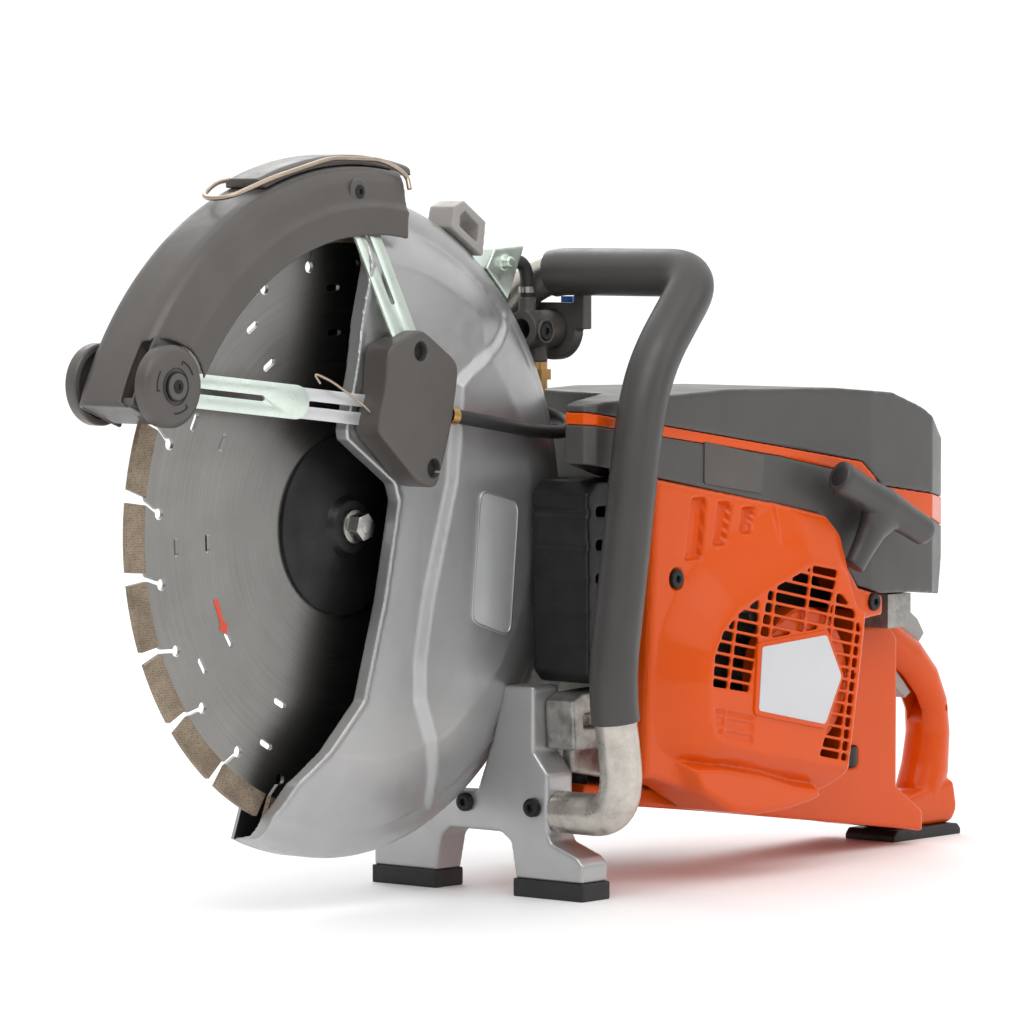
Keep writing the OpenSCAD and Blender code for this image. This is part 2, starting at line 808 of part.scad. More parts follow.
module starter_pulley() {
    color(dark) place() turned([
        [6 + running_gap, -115], [rope_r + 4, -115], [rope_r + 4, -114], [rope_r, -113.4],
        [rope_r, -109.6], [rope_r + 4, -109], [rope_r + 4, -106], [6 + running_gap, -106]
    ], crank_x, crank_z);
}

pull_foot = [404, -113, 208];
pull_top = [430, -120, 250];
pull_r = 10;
module starter_handle() {
    pull = unit(pull_top - pull_foot);
    lean = acos(pull[2]);
    swing = atan2(pull[1], pull[0]);
    color(grip) place() {
        translate(pull_foot) rotate([0, lean, swing]) cylinder(h = 46, r1 = 6.5, r2 = 10);
        translate(pull_top) rotate([0, 113, 0]) translate([0, 0, -50]) cylinder(h = 100, r = pull_r);
        translate(pull_top) rotate([0, 113, 0]) translate([0, 0, -50]) sphere(r = pull_r);
        translate(pull_top) rotate([0, 113, 0]) translate([0, 0, 50]) sphere(r = pull_r);
    }
}

// ---- covers ----

// Plan outline (x, y) of the engine covers, shrunk by d
function plan_points(d = 0) = [
    [132 + d, -96 + d], [140 + d, -101 + d], [440, -101 + d], [522 - d, -94 + d], [560 - d, -74 + d],
    [573 - d, -40], [556 - d, 8 - d], [500, 36 - d], [240 + d, 36 - d], [222 + d, -38 - d],
    [132 + d, -80 - d]
];
module plan_block(d = 0) {
    linear_extrude(400) polygon(plan_points(d));
}

stripe_top = [[120, 324], [337, 293.5], [430, 280], [455, 262], [580, 247]];
stripe_low = [[120, 316], [337, 287], [409, 274], [427, 268], [500, 240], [580, 226]];

module top_cover() {
    color(dark) place() difference() {
        intersection() {
            plan_block();
            slab(-110, 40) polygon(concat(stripe_top, [
                [580, 282], [566, 290], [508, 316], [470, 327], [400, 332], [280, 334], [150, 329],
                [120, 326]
            ]));
        }
        intersection() {
            plan_block(3);
            slab(-110, 40) polygon(concat([for (p = stripe_top) p - [0, 6]], [
                [580, 278], [564, 286], [506, 312], [469, 323], [400, 328.5], [280, 330.5],
                [150, 325.5], [120, 323]
            ]));
        }
    }
}

module trim_stripe() {
    color(orange) place() difference() {
        intersection() {
            plan_block();
            slab(-110, 40) polygon(concat(
                [for (p = stripe_top) p - [0, 0.05]],
                [for (i = [len(stripe_low) - 1 : -1 : 0]) stripe_low[i] + [0, 0.05]]
            ));
        }
        plan_block(3);
    }
}

module side_band() {
    color(dark) place() difference() {
        intersection() {
            plan_block();
            slab(-110, 40) polygon(concat(stripe_low, [
                [560, 205], [549, 181], [500, 185.5], [453, 187], [425.3, 193.6], [412.8, 208.6],
                [394.8, 230.6], [381.6, 245.4], [198, 277.6], [128, 289]
            ]));
        }
        intersection() {
            plan_block(3);
            slab(-110, 40) polygon(concat([for (p = stripe_low) p + [0, 10]], [
                [560, 208], [547, 184], [500, 188.5], [454, 190], [454, 120], [128, 120]
            ]));
        }
        cross_rod(470, 215, 20, 50, 3.1);
        cross_rod(300, 272, 20, 50, 4.1);
    }
}

// ---- rear unit ----

module tank_unit() {
    color(orange) place() difference() {
        union() {
            slab(-62, 28) polygon([
                [170, 60], [300, 44], [540, 12], [556, 9], [556, 24], [524, 44], [524, 150],
                [514, 160], [462, 160], [448, 150], [434, 62], [300, 58], [176, 72]
            ]);
        }
        slab(-59, 25) polygon([
            [440, 64], [452, 146], [464, 156], [512, 156], [520, 148], [520, 44], [530, 34],
            [530, 22], [420, 38], [430, 58]
        ]);
        slab(-57, 23) polygon([
            [180, 90], [182, 62.5], [300, 48], [418, 33], [426, 70], [424, 90]
        ]);
        for (p = [[200, -30], [470, -55], [470, 10]]) translate([p[0], p[1], 61.9])
            cylinder(h = 14.2, r = 10.05);
        cross_rod(480, 100, 20, 40, 16);
    }
}

trigger_pin = [553, 131];
lockout_pin = [567, 160];
handle_mid = -20;
module rear_handle() {
    color(orange) place() difference() {
        slab(handle_mid - rear_grip_w / 2, handle_mid + rear_grip_w / 2) difference() {
            polygon([
                [524.1, 168], [540, 172], [575, 157], [603, 142], [624, 127], [633, 108], [637, 74],
                [637, 12], [632, 8], [556.1, 8], [556.1, 24.2], [524.1, 44.2]
            ]);
            polygon([
                [530, 142], [556, 128], [590, 104], [603, 96], [600, 62], [588, 38], [572, 26],
                [556, 28], [530, 46]
            ]);
        }
        slab(handle_mid - 7, handle_mid + 7) polygon([
            [544, 142], [544, 122], [556, 116], [600, 80], [614, 100], [606, 116], [600, 122],
            [618, 133], [604, 156], [560, 176], [560, 146]
        ]);
    }
}

module throttle_trigger() {
    color("#8f8d8a") place() slab(handle_mid - 6, handle_mid + 6) difference() {
        union() {
            polygon([[549, 127], [562, 116], [583, 101], [590, 105], [571, 123], [556, 135]]);
            translate(trigger_pin) circle(5);
        }
        translate(trigger_pin) circle(2.05);
    }
}

module throttle_lockout() {
    color("#8f8d8a") place() slab(handle_mid - 6, handle_mid + 6) difference() {
        polygon([
            [563, 156], [563, 166], [580, 169], [598, 158], [606, 147], [600, 141], [570, 155]
        ]);
        translate(lockout_pin) circle(2.05);
    }
}

module fuel_cap() {
    color(black) place() {
        cross_rod(480, 100, 28.3, 38, 21);
        cross_rod(480, 100, 22, 28.4, 15.9);
        slab(37, 41) translate([480, 100]) rotate(20) translate([-16, -3]) square([32, 6]);
    }
}

module stop_switch() {
    color("#c23a2c") place() cross_rod(540, 160, -39, handle_mid - rear_grip_w / 2 - 0.3, 6);
}

module choke_knob() {
    color("#3b6fc4") place() {
        cross_rod(470, 215, 36.3, 46, 8);
        cross_rod(470, 215, 20, 37, 3);
    }
}

module decompression_button() {
    color("#3b6fc4") place() {
        cross_rod(300, 272, 40.5, 47, 7);
        cross_rod(300, 272, 27, 41, 4);
    }
}

blade_core();
blade_segments();
blade_bushing();
outer_flange();
inner_flange();
arbor_bolt();
spindle();
driven_pulley();
spindle_bearings();
cutting_arm();
belt_cover();
drive_belt();
drive_pulley();
clutch_shoes();
crankshaft();
flywheel();
crankcase();
engine_cylinder();
piston();
muffler();
carburettor();
air_filter();
blade_guard();
guard_handle();
guard_clamp();
pivot_box();
upper_link();
lower_link_inner();
lower_link_outer();
link_spring();
front_guard();
guard_pad();
wire_bail();
roller_axle();
roller_left();
roller_right();
water_hose();
water_valve();
valve_lever();
inlet_fitting();
front_handle();
handle_grip();
handle_bracket();
stand();
rubber_mounts();
body_screws();
starter_cover();
starter_handle();
starter_pulley();
top_cover();
trim_stripe();
side_band();
tank_unit();
rear_handle();
fuel_cap();
throttle_trigger();
throttle_lockout();
stop_switch();
choke_knob();
decompression_button();
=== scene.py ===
import bpy, bmesh, json, math
from mathutils import Vector, Matrix
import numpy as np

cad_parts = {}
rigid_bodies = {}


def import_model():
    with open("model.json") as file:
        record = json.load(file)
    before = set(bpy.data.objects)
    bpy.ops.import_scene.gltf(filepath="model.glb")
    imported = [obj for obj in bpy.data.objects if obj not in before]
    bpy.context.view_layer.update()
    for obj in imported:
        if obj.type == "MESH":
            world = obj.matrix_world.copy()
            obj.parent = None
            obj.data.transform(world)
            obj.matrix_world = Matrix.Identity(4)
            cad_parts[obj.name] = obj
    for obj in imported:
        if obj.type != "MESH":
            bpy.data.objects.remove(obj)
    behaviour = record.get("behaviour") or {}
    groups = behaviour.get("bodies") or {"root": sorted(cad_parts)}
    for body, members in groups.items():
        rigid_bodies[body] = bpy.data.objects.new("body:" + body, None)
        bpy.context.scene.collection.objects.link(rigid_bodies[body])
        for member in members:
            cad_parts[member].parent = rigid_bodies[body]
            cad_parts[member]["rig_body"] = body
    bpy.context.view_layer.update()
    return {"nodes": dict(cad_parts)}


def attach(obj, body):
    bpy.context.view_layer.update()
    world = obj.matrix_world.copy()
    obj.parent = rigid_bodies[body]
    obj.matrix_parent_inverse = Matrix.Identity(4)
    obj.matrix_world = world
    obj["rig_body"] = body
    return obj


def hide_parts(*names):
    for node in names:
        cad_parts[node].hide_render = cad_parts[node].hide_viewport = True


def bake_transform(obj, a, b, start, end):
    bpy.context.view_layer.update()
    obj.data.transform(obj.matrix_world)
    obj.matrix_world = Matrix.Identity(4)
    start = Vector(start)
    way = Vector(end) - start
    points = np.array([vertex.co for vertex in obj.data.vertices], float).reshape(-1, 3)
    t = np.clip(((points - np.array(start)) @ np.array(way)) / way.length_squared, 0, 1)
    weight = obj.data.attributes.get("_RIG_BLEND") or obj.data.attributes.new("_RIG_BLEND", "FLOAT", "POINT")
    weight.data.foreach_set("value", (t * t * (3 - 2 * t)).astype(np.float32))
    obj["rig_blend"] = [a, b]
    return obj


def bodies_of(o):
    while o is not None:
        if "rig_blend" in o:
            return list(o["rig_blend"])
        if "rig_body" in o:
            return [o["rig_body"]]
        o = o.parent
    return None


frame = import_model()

# Working frame: millimetres, blade axis at x = 0, blade's near face at y = 0, ground at z = 0
CENTRE_X, CENTRE_Y = 209.3, -22.5
AXIS_Z = 250.0


def at(x, y, z):
    return Vector(((x - CENTRE_X) / 1000, (y - CENTRE_Y) / 1000, z / 1000))


# ---------------------------------------------------------------- camera
EYE = (-2853.7, -2556.1, 466.3)
LOOK_AT = (172.5, 0, 252)
cam_data = bpy.data.cameras.new("camera")
cam = bpy.data.objects.new("camera", cam_data)
bpy.context.scene.collection.objects.link(cam)
cam_data.sensor_width = 36
cam_data.lens = 207.5
cam_data.clip_start, cam_data.clip_end = 0.05, 200
cam.location = at(*EYE)
cam.rotation_euler = (at(*LOOK_AT) - cam.location).to_track_quat("-Z", "Y").to_euler()
bpy.context.scene.camera = cam


# ---------------------------------------------------------------- outlines and paths
CORNER_SHARE = 0.48   # the most of a side that one rounded corner takes


def corner(p, q, r, reach, steps):
    """Points of the curve that rounds the corner at q, between p and r."""
    a = q + (p - q).normalized() * min(reach, (p - q).length * CORNER_SHARE)
    b = q + (r - q).normalized() * min(reach, (r - q).length * CORNER_SHARE)
    return [a * (1 - t) ** 2 + q * 2 * t * (1 - t) + b * t * t
            for t in [k / steps for k in range(steps + 1)]]


def rounded_path(points, reach, steps=6):
    """An open path with its corners rounded; reach is one number or one for each point."""
    points = [Vector(p) for p in points]
    reaches = reach if isinstance(reach, list) else [reach] * len(points)
    out = [points[0]]
    for i in range(1, len(points) - 1):
        out += corner(points[i - 1], points[i], points[i + 1], reaches[i], steps)
    out.append(points[-1])
    return out


def rounded_outline(points, reach, steps=5):
    """A closed (x, z) outline with its corners rounded."""
    pts = [Vector((x, 0, z)) for x, z in points]
    out = []
    for i in range(len(pts)):
        out += corner(pts[i - 1], pts[i], pts[(i + 1) % len(pts)], reach, steps)
    return [(v.x, v.z) for v in out]


def circle(x, z, r, n):
    return [(x + r * math.cos(2 * math.pi * k / n), z + r * math.sin(2 * math.pi * k / n)) for k in range(n)]


def stadium(a, b, r, n=14):
    """A slot outline: half a circle round (a, 0), then half a circle round (b, 0)."""
    half = [math.pi / 2 + math.pi * k / n for k in range(n + 1)]
    return ([(a + r * math.cos(t), r * math.sin(t)) for t in half]
            + [(b + r * math.cos(t - math.pi), r * math.sin(t - math.pi)) for t in half])


def axes(axis):
    """Three unit vectors: the axis and two across it."""
    a = Vector(axis).normalized()
    u = a.orthogonal().normalized()
    return a, u, a.cross(u)


# ---------------------------------------------------------------- meshes
def bridge(bm, rings):
    """Joins each ring of points to the next with four-sided faces."""
    for a, b in zip(rings, rings[1:]):
        n = len(a)
        for k in range(n):
            bm.faces.new((a[k], a[(k + 1) % n], b[(k + 1) % n], b[k]))


def bridge_closed(bm, rings):
    """A solid from rings: bridged, with a face over each end."""
    bridge(bm, rings)
    bm.faces.new(rings[0])
    bm.faces.new(rings[-1][::-1])


def link(mesh, name, mat=None, smooth=35):
    obj = bpy.data.objects.new(name, mesh)
    bpy.context.scene.collection.objects.link(obj)
    if mat is not None:
        mesh.materials.clear()
        mesh.materials.append(mat)
    if smooth:
        shade(obj, smooth)
    return obj


def shade(obj, angle):
    mesh = obj.data
    mesh.polygons.foreach_set("use_smooth", [True] * len(mesh.polygons))
    if angle < 180:
        bm = bmesh.new()
        bm.from_mesh(mesh)
        limit = math.radians(angle)
        for e in bm.edges:
            if len(e.link_faces) == 2 and e.calc_face_angle(0) > limit:
                e.smooth = False
        bm.to_mesh(mesh)
        bm.free()
    mesh.update()


def from_bm(bm, name, mat, smooth=35):
    bmesh.ops.recalc_face_normals(bm, faces=bm.faces)
    mesh = bpy.data.meshes.new(name)
    bm.to_mesh(mesh)
    bm.free()
    return link(mesh, name, mat, smooth)


def pipe(path, radius, name, mat, sides=24):
    """A round bar carried along a list of points."""
    n = len(path)
    bm = bmesh.new()
    rings = []
    normal = Vector((0, 0, 1))
    for i, p in enumerate(path):
        d = (path[min(i + 1, n - 1)] - path[max(i - 1, 0)]).normalized()
        normal = normal - d * normal.dot(d)
        if normal.length < 1e-6:
            normal = d.orthogonal()
        normal.normalize()
        side = d.cross(normal)
        ring = []
        for k in range(sides):
            a = 2 * math.pi * k / sides
            ring.append(bm.verts.new(at(*(p + (normal * math.cos(a) + side * math.sin(a)) * radius))))
        rings.append(ring)
    bridge_closed(bm, rings)
    return from_bm(bm, name, mat)


def lathe(profile, name, mat, centre, steps=96, smooth=30):
    """Turns a list of (radius, y) points round an axis along y, through the (x, z) point centre."""
    bm = bmesh.new()
    rings = [[bm.verts.new(at(x, y, z)) for x, z in circle(*centre, r, steps)] for r, y in profile]
    bridge(bm, rings)
    bmesh.ops.remove_doubles(bm, verts=bm.verts, dist=1e-6)
    if profile[0][0] > 0.001 and profile[0] != profile[-1]:
        for ring in (rings[0], rings[-1]):
            if all(v.is_valid for v in ring):
                bm.faces.new(ring)
    return from_bm(bm, name, mat, smooth)


def prism(outline, low, high, name, mat, plane="xz", bevel=0.0, segments=3, holes=(), smooth=35,
          only=None):
    """An outline extruded between two planes, with its rim rounded."""
    def point(u, v, w):
        return {"xz": at(u, w, v), "yz": at(w, u, v), "xy": at(u, v, w)}[plane]
    bm = bmesh.new()
    rings = []
    loops = [outline] + list(holes)
    edges = []
    for pts in loops:
        vs = [bm.verts.new(point(u, v, low)) for u, v in pts]
        rings.append(vs)
        edges += [bm.edges.new((vs[i], vs[(i + 1) % len(vs)])) for i in range(len(vs))]
    if len(loops) == 1:
        bm.faces.new(rings[0])
    else:
        bmesh.ops.triangle_fill(bm, use_beauty=True, use_dissolve=False, edges=edges)
        bmesh.ops.dissolve_limit(bm, angle_limit=0.01, verts=bm.verts, edges=bm.edges)
    shift = point(0, 0, high) - point(0, 0, low)
    out = bmesh.ops.extrude_face_region(bm, geom=list(bm.faces))
    bmesh.ops.translate(bm, vec=shift, verts=[e for e in out["geom"] if isinstance(e, bmesh.types.BMVert)])
    bmesh.ops.recalc_face_normals(bm, faces=bm.faces)
    if bevel:
        rim = []
        axis = shift.normalized()
        for e in bm.edges:
            d = (e.verts[0].co - e.verts[1].co).normalized()
            if abs(d.dot(axis)) < 0.5 and e.calc_face_angle(0) > 0.5:
                side = (e.verts[0].co - point(0, 0, low)).dot(axis) > shift.length / 2
                if only is None or (only == "high") == side:
                    rim.append(e)
        bmesh.ops.bevel(bm, geom=rim, offset=bevel / 1000, segments=segments, profile=0.5,
                        affect="EDGES", clamp_overlap=True)
    return from_bm(bm, name, mat, smooth)


def torus_ring(centre, big, small, axis, name, mat, sides=48, wire_sides=10):
    """A ring of radius big, made of wire of radius small."""
    c = Vector(centre)
    a, u, v = axes(axis)
    bm = bmesh.new()
    rings = []
    for k in range(sides):
        t = 2 * math.pi * k / sides
        out = u * math.cos(t) + v * math.sin(t)
        ring = [bm.verts.new(at(*(c + out * (big + small * math.cos(s)) + a * small * math.sin(s))))
                for s in [2 * math.pi * j / wire_sides for j in range(wire_sides)]]
        rings.append(ring)
    bridge(bm, rings + rings[:1])
    return from_bm(bm, name, mat, 180)


def body_of(node):
    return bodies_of(frame["nodes"][node])[0]


def stand_in(obj, node, *more):
    """obj is shown in place of a CAD node and moves with the node's body."""
    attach(obj, body_of(node))
    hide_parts(node, *more)
    return obj


def bake(obj):
    """Applies an object's modifiers."""
    deps = bpy.context.evaluated_depsgraph_get()
    mesh = bpy.data.meshes.new_from_object(obj.evaluated_get(deps))
    obj.modifiers.clear()
    old = obj.data
    obj.data = mesh
    bpy.data.meshes.remove(old)
    return obj


def soften(obj, mat, voxel=1.0, passes=3):
    """Rebuilds a closed mesh on a fine grid and smooths it, so that its edges are rounded."""
    m = obj.modifiers.new("r", "REMESH")
    m.mode = "VOXEL"
    m.voxel_size = voxel / 1000
    s = obj.modifiers.new("s", "SMOOTH")
    s.factor = 0.5
    s.iterations = passes
    bake(obj)
    obj.data.materials.clear()
    obj.data.materials.append(mat)
    shade(obj, 180)
    return obj


def moulded(node, mat, voxel, passes):
    """A softened copy of a CAD node: edges rounded as a moulding or casting has them."""
    source = frame["nodes"][node]
    obj = bpy.data.objects.new(node + "_skin", source.data.copy())
    bpy.context.scene.collection.objects.link(obj)
    obj.matrix_world = source.matrix_world.copy()
    bpy.context.view_layer.update()
    bpy.context.view_layer.objects.active = obj
    return stand_in(soften(obj, mat, voxel, passes), node)


def bevelled(node, mat, width=0.35, segments=2, angle=25):
    """A copy of a CAD node with flat faces merged and its edges broken."""
    src = frame["nodes"][node]
    bm = bmesh.new()
    bm.from_mesh(src.data)
    bmesh.ops.transform(bm, matrix=src.matrix_world, verts=bm.verts)
    bmesh.ops.remove_doubles(bm, verts=bm.verts, dist=2e-6)
    bmesh.ops.dissolve_limit(bm, angle_limit=math.radians(1.0), verts=bm.verts, edges=bm.edges)
    obj = from_bm(bm, node + "_skin", mat, 0)
    m = obj.modifiers.new("b", "BEVEL")
    m.width = width / 1000
    m.segments = segments
    m.limit_method = "ANGLE"
    m.angle_limit = math.radians(angle)
    m.harden_normals = False
    bake(obj)
    shade(obj, 40)
    return stand_in(obj, node)


def inside(p, poly):
    x, z = p
    hit = False
    for i in range(len(poly)):
        (x1, z1), (x2, z2) = poly[i], poly[i - 1]
        if (z1 > z) != (z2 > z) and x < (x2 - x1) * (z - z1) / (z2 - z1) + x1:
            hit = not hit
    return hit


def seg_dist(p, a, b):
    ax, az = a
    dx, dz = b[0] - ax, b[1] - az
    t = max(0, min(1, ((p[0] - ax) * dx + (p[1] - az) * dz) / max(dx * dx + dz * dz, 1e-9)))
    return math.hypot(p[0] - ax - dx * t, p[1] - az - dz * t)


def signed(p, poly):
    """Distance from an outline, negative inside."""
    d = min(seg_dist(p, poly[i], poly[i - 1]) for i in range(len(poly)))
    return -d if inside(p, poly) else d


def line_dist(p, line):
    return min(seg_dist(p, a, b) for a, b in zip(line, line[1:]))


def ease(t):
    t = max(0.0, min(1.0, t))
    return t * t * (3 - 2 * t)


def skin(outline, height, name, mat, wall=None, thick=3.0, step=4.0):
    """A shell whose near face is y = height(x, z) inside an outline; wall(x, z) gives how far
    back its rim runs there, and without wall there is no rim."""
    bm = bmesh.new()
    vs = [bm.verts.new((x, 0, z)) for x, z in outline]
    edges = [bm.edges.new((vs[i - 1], vs[i])) for i in range(len(vs))]
    bmesh.ops.triangle_fill(bm, use_beauty=True, use_dissolve=False, edges=edges)
    outside = [f for f in bm.faces if not inside(tuple(f.calc_center_median())[::2], outline)]
    bmesh.ops.delete(bm, geom=outside, context="FACES")
    xs, zs = [p[0] for p in outline], [p[1] for p in outline]
    for axis, lo, hi in ((0, min(xs), max(xs)), (2, min(zs), max(zs))):
        k = lo + step
        while k < hi - 0.2:
            co, no = [0, 0, 0], [0, 0, 0]
            co[axis], no[axis] = k, 1
            bmesh.ops.bisect_plane(bm, geom=bm.verts[:] + bm.edges[:] + bm.faces[:], dist=1e-4,
                                   plane_co=co, plane_no=no)
            k += step
    for v in bm.verts:
        v.co.y = height(v.co.x, v.co.z)
    if wall is not None:
        rim = [e for e in bm.edges if e.is_boundary]
        out = bmesh.ops.extrude_edge_only(bm, edges=rim)
        for v in out["geom"]:
            if isinstance(v, bmesh.types.BMVert):
                v.co.y = wall(v.co.x, v.co.z)
    bmesh.ops.recalc_face_normals(bm, faces=bm.faces)
    facing = sum(f.normal.y * f.calc_area() for f in bm.faces)
    if facing > 0:
        bmesh.ops.reverse_faces(bm, faces=bm.faces)
    for v in bm.verts:
        v.co = at(*v.co)
    mesh = bpy.data.meshes.new(name)
    bm.to_mesh(mesh)
    bm.free()
    obj = link(mesh, name, mat, 0)
    m = obj.modifiers.new("t", "SOLIDIFY")
    m.thickness = thick / 1000
    m.offset = -1
    return bake(obj)


def cut(obj, tools, op="DIFFERENCE"):
    """Cuts a list of closed pieces out of obj, or adds them with op UNION, then removes them."""
    for t in tools:
        m = obj.modifiers.new("c", "BOOLEAN")
        m.operation = op
        m.solver = "EXACT"
        m.object = t
        bake(obj)
    for t in tools:
        bpy.data.objects.remove(t)
    return obj


def joined(pieces, name):
    """One object holding several closed pieces."""
    bm = bmesh.new()
    for p in pieces:
        bm.from_mesh(p.data)
        bpy.data.objects.remove(p)
    return from_bm(bm, name, None, 0)


def clip(poly, other):
    """The part of a convex outline that is inside a convex one (both run the same way round)."""
    out = list(poly)
    for i in range(len(other)):
        a, b = other[i - 1], other[i]
        src, out = out, []
        for j in range(len(src)):
            p, q = src[j - 1], src[j]
            sp, sq = [(b[0] - a[0]) * (v[1] - a[1]) - (b[1] - a[1]) * (v[0] - a[0]) for v in (p, q)]
            if (sp >= 0) != (sq >= 0):
                t = sp / (sp - sq)
                out.append((p[0] + (q[0] - p[0]) * t, p[1] + (q[1] - p[1]) * t))
            if sq >= 0:
                out.append(q)
        if len(out) < 3:
            return []
    return out


# ---------------------------------------------------------------- materials
def tree(name):
    mat = bpy.data.materials.new(name)
    mat.use_nodes = True
    nt = mat.node_tree
    nt.nodes.clear()
    out = nt.nodes.new("ShaderNodeOutputMaterial")
    bsdf = nt.nodes.new("ShaderNodeBsdfPrincipled")
    nt.links.new(bsdf.outputs[0], out.inputs[0])
    tc = nt.nodes.new("ShaderNodeTexCoord")
    return mat, nt, bsdf, tc.outputs["Object"]


def noise(nt, vec, scale, detail=4.0, rough=0.55, distort=0.0):
    n = nt.nodes.new("ShaderNodeTexNoise")
    n.inputs["Scale"].default_value = scale
    n.inputs["Detail"].default_value = detail
    n.inputs["Roughness"].default_value = rough
    n.inputs["Distortion"].default_value = distort
    nt.links.new(vec, n.inputs["Vector"])
    return n.outputs["Fac"]


def ramp(nt, fac, stops):
    r = nt.nodes.new("ShaderNodeValToRGB")
    while len(r.color_ramp.elements) < len(stops):
        r.color_ramp.elements.new(0.5)
    for e, (pos, col) in zip(r.color_ramp.elements, stops):
        e.position = pos
        e.color = (*col, 1) if len(col) == 3 else col
    nt.links.new(fac, r.inputs["Fac"])
    return r.outputs["Color"]


def span(nt, fac, low, high, src=(0.3, 0.7)):
    m = nt.nodes.new("ShaderNodeMapRange")
    m.inputs["From Min"].default_value, m.inputs["From Max"].default_value = src
    m.inputs["To Min"].default_value, m.inputs["To Max"].default_value = low, high
    nt.links.new(fac, m.inputs["Value"])
    return m.outputs["Result"]


def bump(nt, height, strength, distance, normal=None):
    b = nt.nodes.new("ShaderNodeBump")
    b.inputs["Strength"].default_value = strength
    b.inputs["Distance"].default_value = distance
    nt.links.new(height, b.inputs["Height"])
    if normal is not None:
        nt.links.new(normal, b.inputs["Normal"])
    return b.outputs["Normal"]


def lin(r, g, b):
    def f(c):
        c /= 255
        return c / 12.92 if c <= 0.04045 else ((c + 0.055) / 1.055) ** 2.4
    return (f(r), f(g), f(b))


def tint(col, k):
    return tuple(min(1, c * k) for c in col)


def finish_mat(name, col, rough, metal=0.0, tone=0.08, tone_scale=25, rough_span=0.06,
               grain=0.1, grain_scale=1200, grain_depth=0.0001, coat=0.0, spec=0.5, wave=0.0):
    """Plain moulded or coated surface: slight tone and gloss drift, and a fine grain."""
    mat, nt, bsdf, vec = tree(name)
    tones = [(0.3, tint(col, 1 - tone)), (0.7, tint(col, 1 + tone))]
    base = ramp(nt, noise(nt, vec, tone_scale, 5), tones)
    nt.links.new(base, bsdf.inputs["Base Color"])
    nt.links.new(span(nt, noise(nt, vec, tone_scale * 2.3, 6), rough - rough_span, rough + rough_span),
                 bsdf.inputs["Roughness"])
    n = bump(nt, noise(nt, vec, grain_scale, 2), grain, grain_depth)
    if wave:
        n = bump(nt, noise(nt, vec, 14, 2), wave, 0.004, n)
    nt.links.new(n, bsdf.inputs["Normal"])
    bsdf.inputs["Metallic"].default_value = metal
    bsdf.inputs["Coat Weight"].default_value = coat
    bsdf.inputs["Coat Roughness"].default_value = 0.08
    bsdf.inputs["Specular IOR Level"].default_value = spec
    return mat


def multiplied(nt, a, b):
    """The product of two colours."""
    node = nt.nodes.new("ShaderNodeMix")
    node.data_type = "RGBA"
    node.blend_type = "MULTIPLY"
    node.inputs["Factor"].default_value = 1.0
    nt.links.new(a, node.inputs["A"])
    nt.links.new(b, node.inputs["B"])
    return node.outputs["Result"]


def steel_blade():
    """Ground steel: fine rings round the blade axis over a soft cloudy tone."""
    mat, nt, bsdf, vec = tree("ground_steel")
    sep = nt.nodes.new("ShaderNodeSeparateXYZ")
    nt.links.new(vec, sep.inputs[0])

    def math_node(op, a, b=None):
        m = nt.nodes.new("ShaderNodeMath")
        m.operation = op
        for i, v in enumerate((a, b)):
            if v is None:
                continue
            if isinstance(v, (int, float)):
                m.inputs[i].default_value = v
            else:
                nt.links.new(v, m.inputs[i])
        return m.outputs[0]
    c = at(0, 0, AXIS_Z)
    x = math_node("SUBTRACT", sep.outputs["X"], c.x)
    z = math_node("SUBTRACT", sep.outputs["Z"], c.z)
    r = math_node("SQRT", math_node("ADD", math_node("MULTIPLY", x, x), math_node("MULTIPLY", z, z)))
    ang = math_node("ARCTAN2", z, x)
    comb = nt.nodes.new("ShaderNodeCombineXYZ")
    nt.links.new(math_node("MULTIPLY", r, 1400.0), comb.inputs["X"])
    nt.links.new(math_node("MULTIPLY", ang, 1.6), comb.inputs["Y"])
    rings = noise(nt, comb.outputs[0], 1.0, 3, 0.6)
    blot = noise(nt, vec, 22, 4)
    ground = ramp(nt, rings, [(0.3, lin(140, 138, 135)), (0.7, lin(157, 155, 152))])
    cloudy = ramp(nt, blot, [(0.25, (0.82, 0.82, 0.82)), (0.75, (1, 1, 1))])
    nt.links.new(multiplied(nt, ground, cloudy), bsdf.inputs["Base Color"])
    nt.links.new(span(nt, rings, 0.30, 0.38), bsdf.inputs["Roughness"])
    nt.links.new(bump(nt, rings, 0.08, 0.00003), bsdf.inputs["Normal"])
    bsdf.inputs["Metallic"].default_value = 1.0
    return mat


def diamond_matrix():
    """Sintered segments: tan matrix with a fine regular pattern of grit."""
    mat, nt, bsdf, vec = tree("diamond_matrix")
    v = nt.nodes.new("ShaderNodeTexVoronoi")
    v.inputs["Scale"].default_value = 620
    v.inputs["Randomness"].default_value = 0.35
    nt.links.new(vec, v.inputs["Vector"])
    tone = noise(nt, vec, 60, 4)
    matrix = ramp(nt, tone, [(0.3, lin(122, 108, 92)), (0.7, lin(158, 143, 124))])
    grit = ramp(nt, v.outputs["Distance"], [(0.15, (0.45, 0.42, 0.4)), (0.45, (1, 1, 1))])
    nt.links.new(multiplied(nt, matrix, grit), bsdf.inputs["Base Color"])
    nt.links.new(span(nt, tone, 0.5, 0.7), bsdf.inputs["Roughness"])
    nt.links.new(bump(nt, v.outputs["Distance"], 0.6, 0.0004), bsdf.inputs["Normal"])
    bsdf.inputs["Metallic"].default_value = 0.55
    return mat


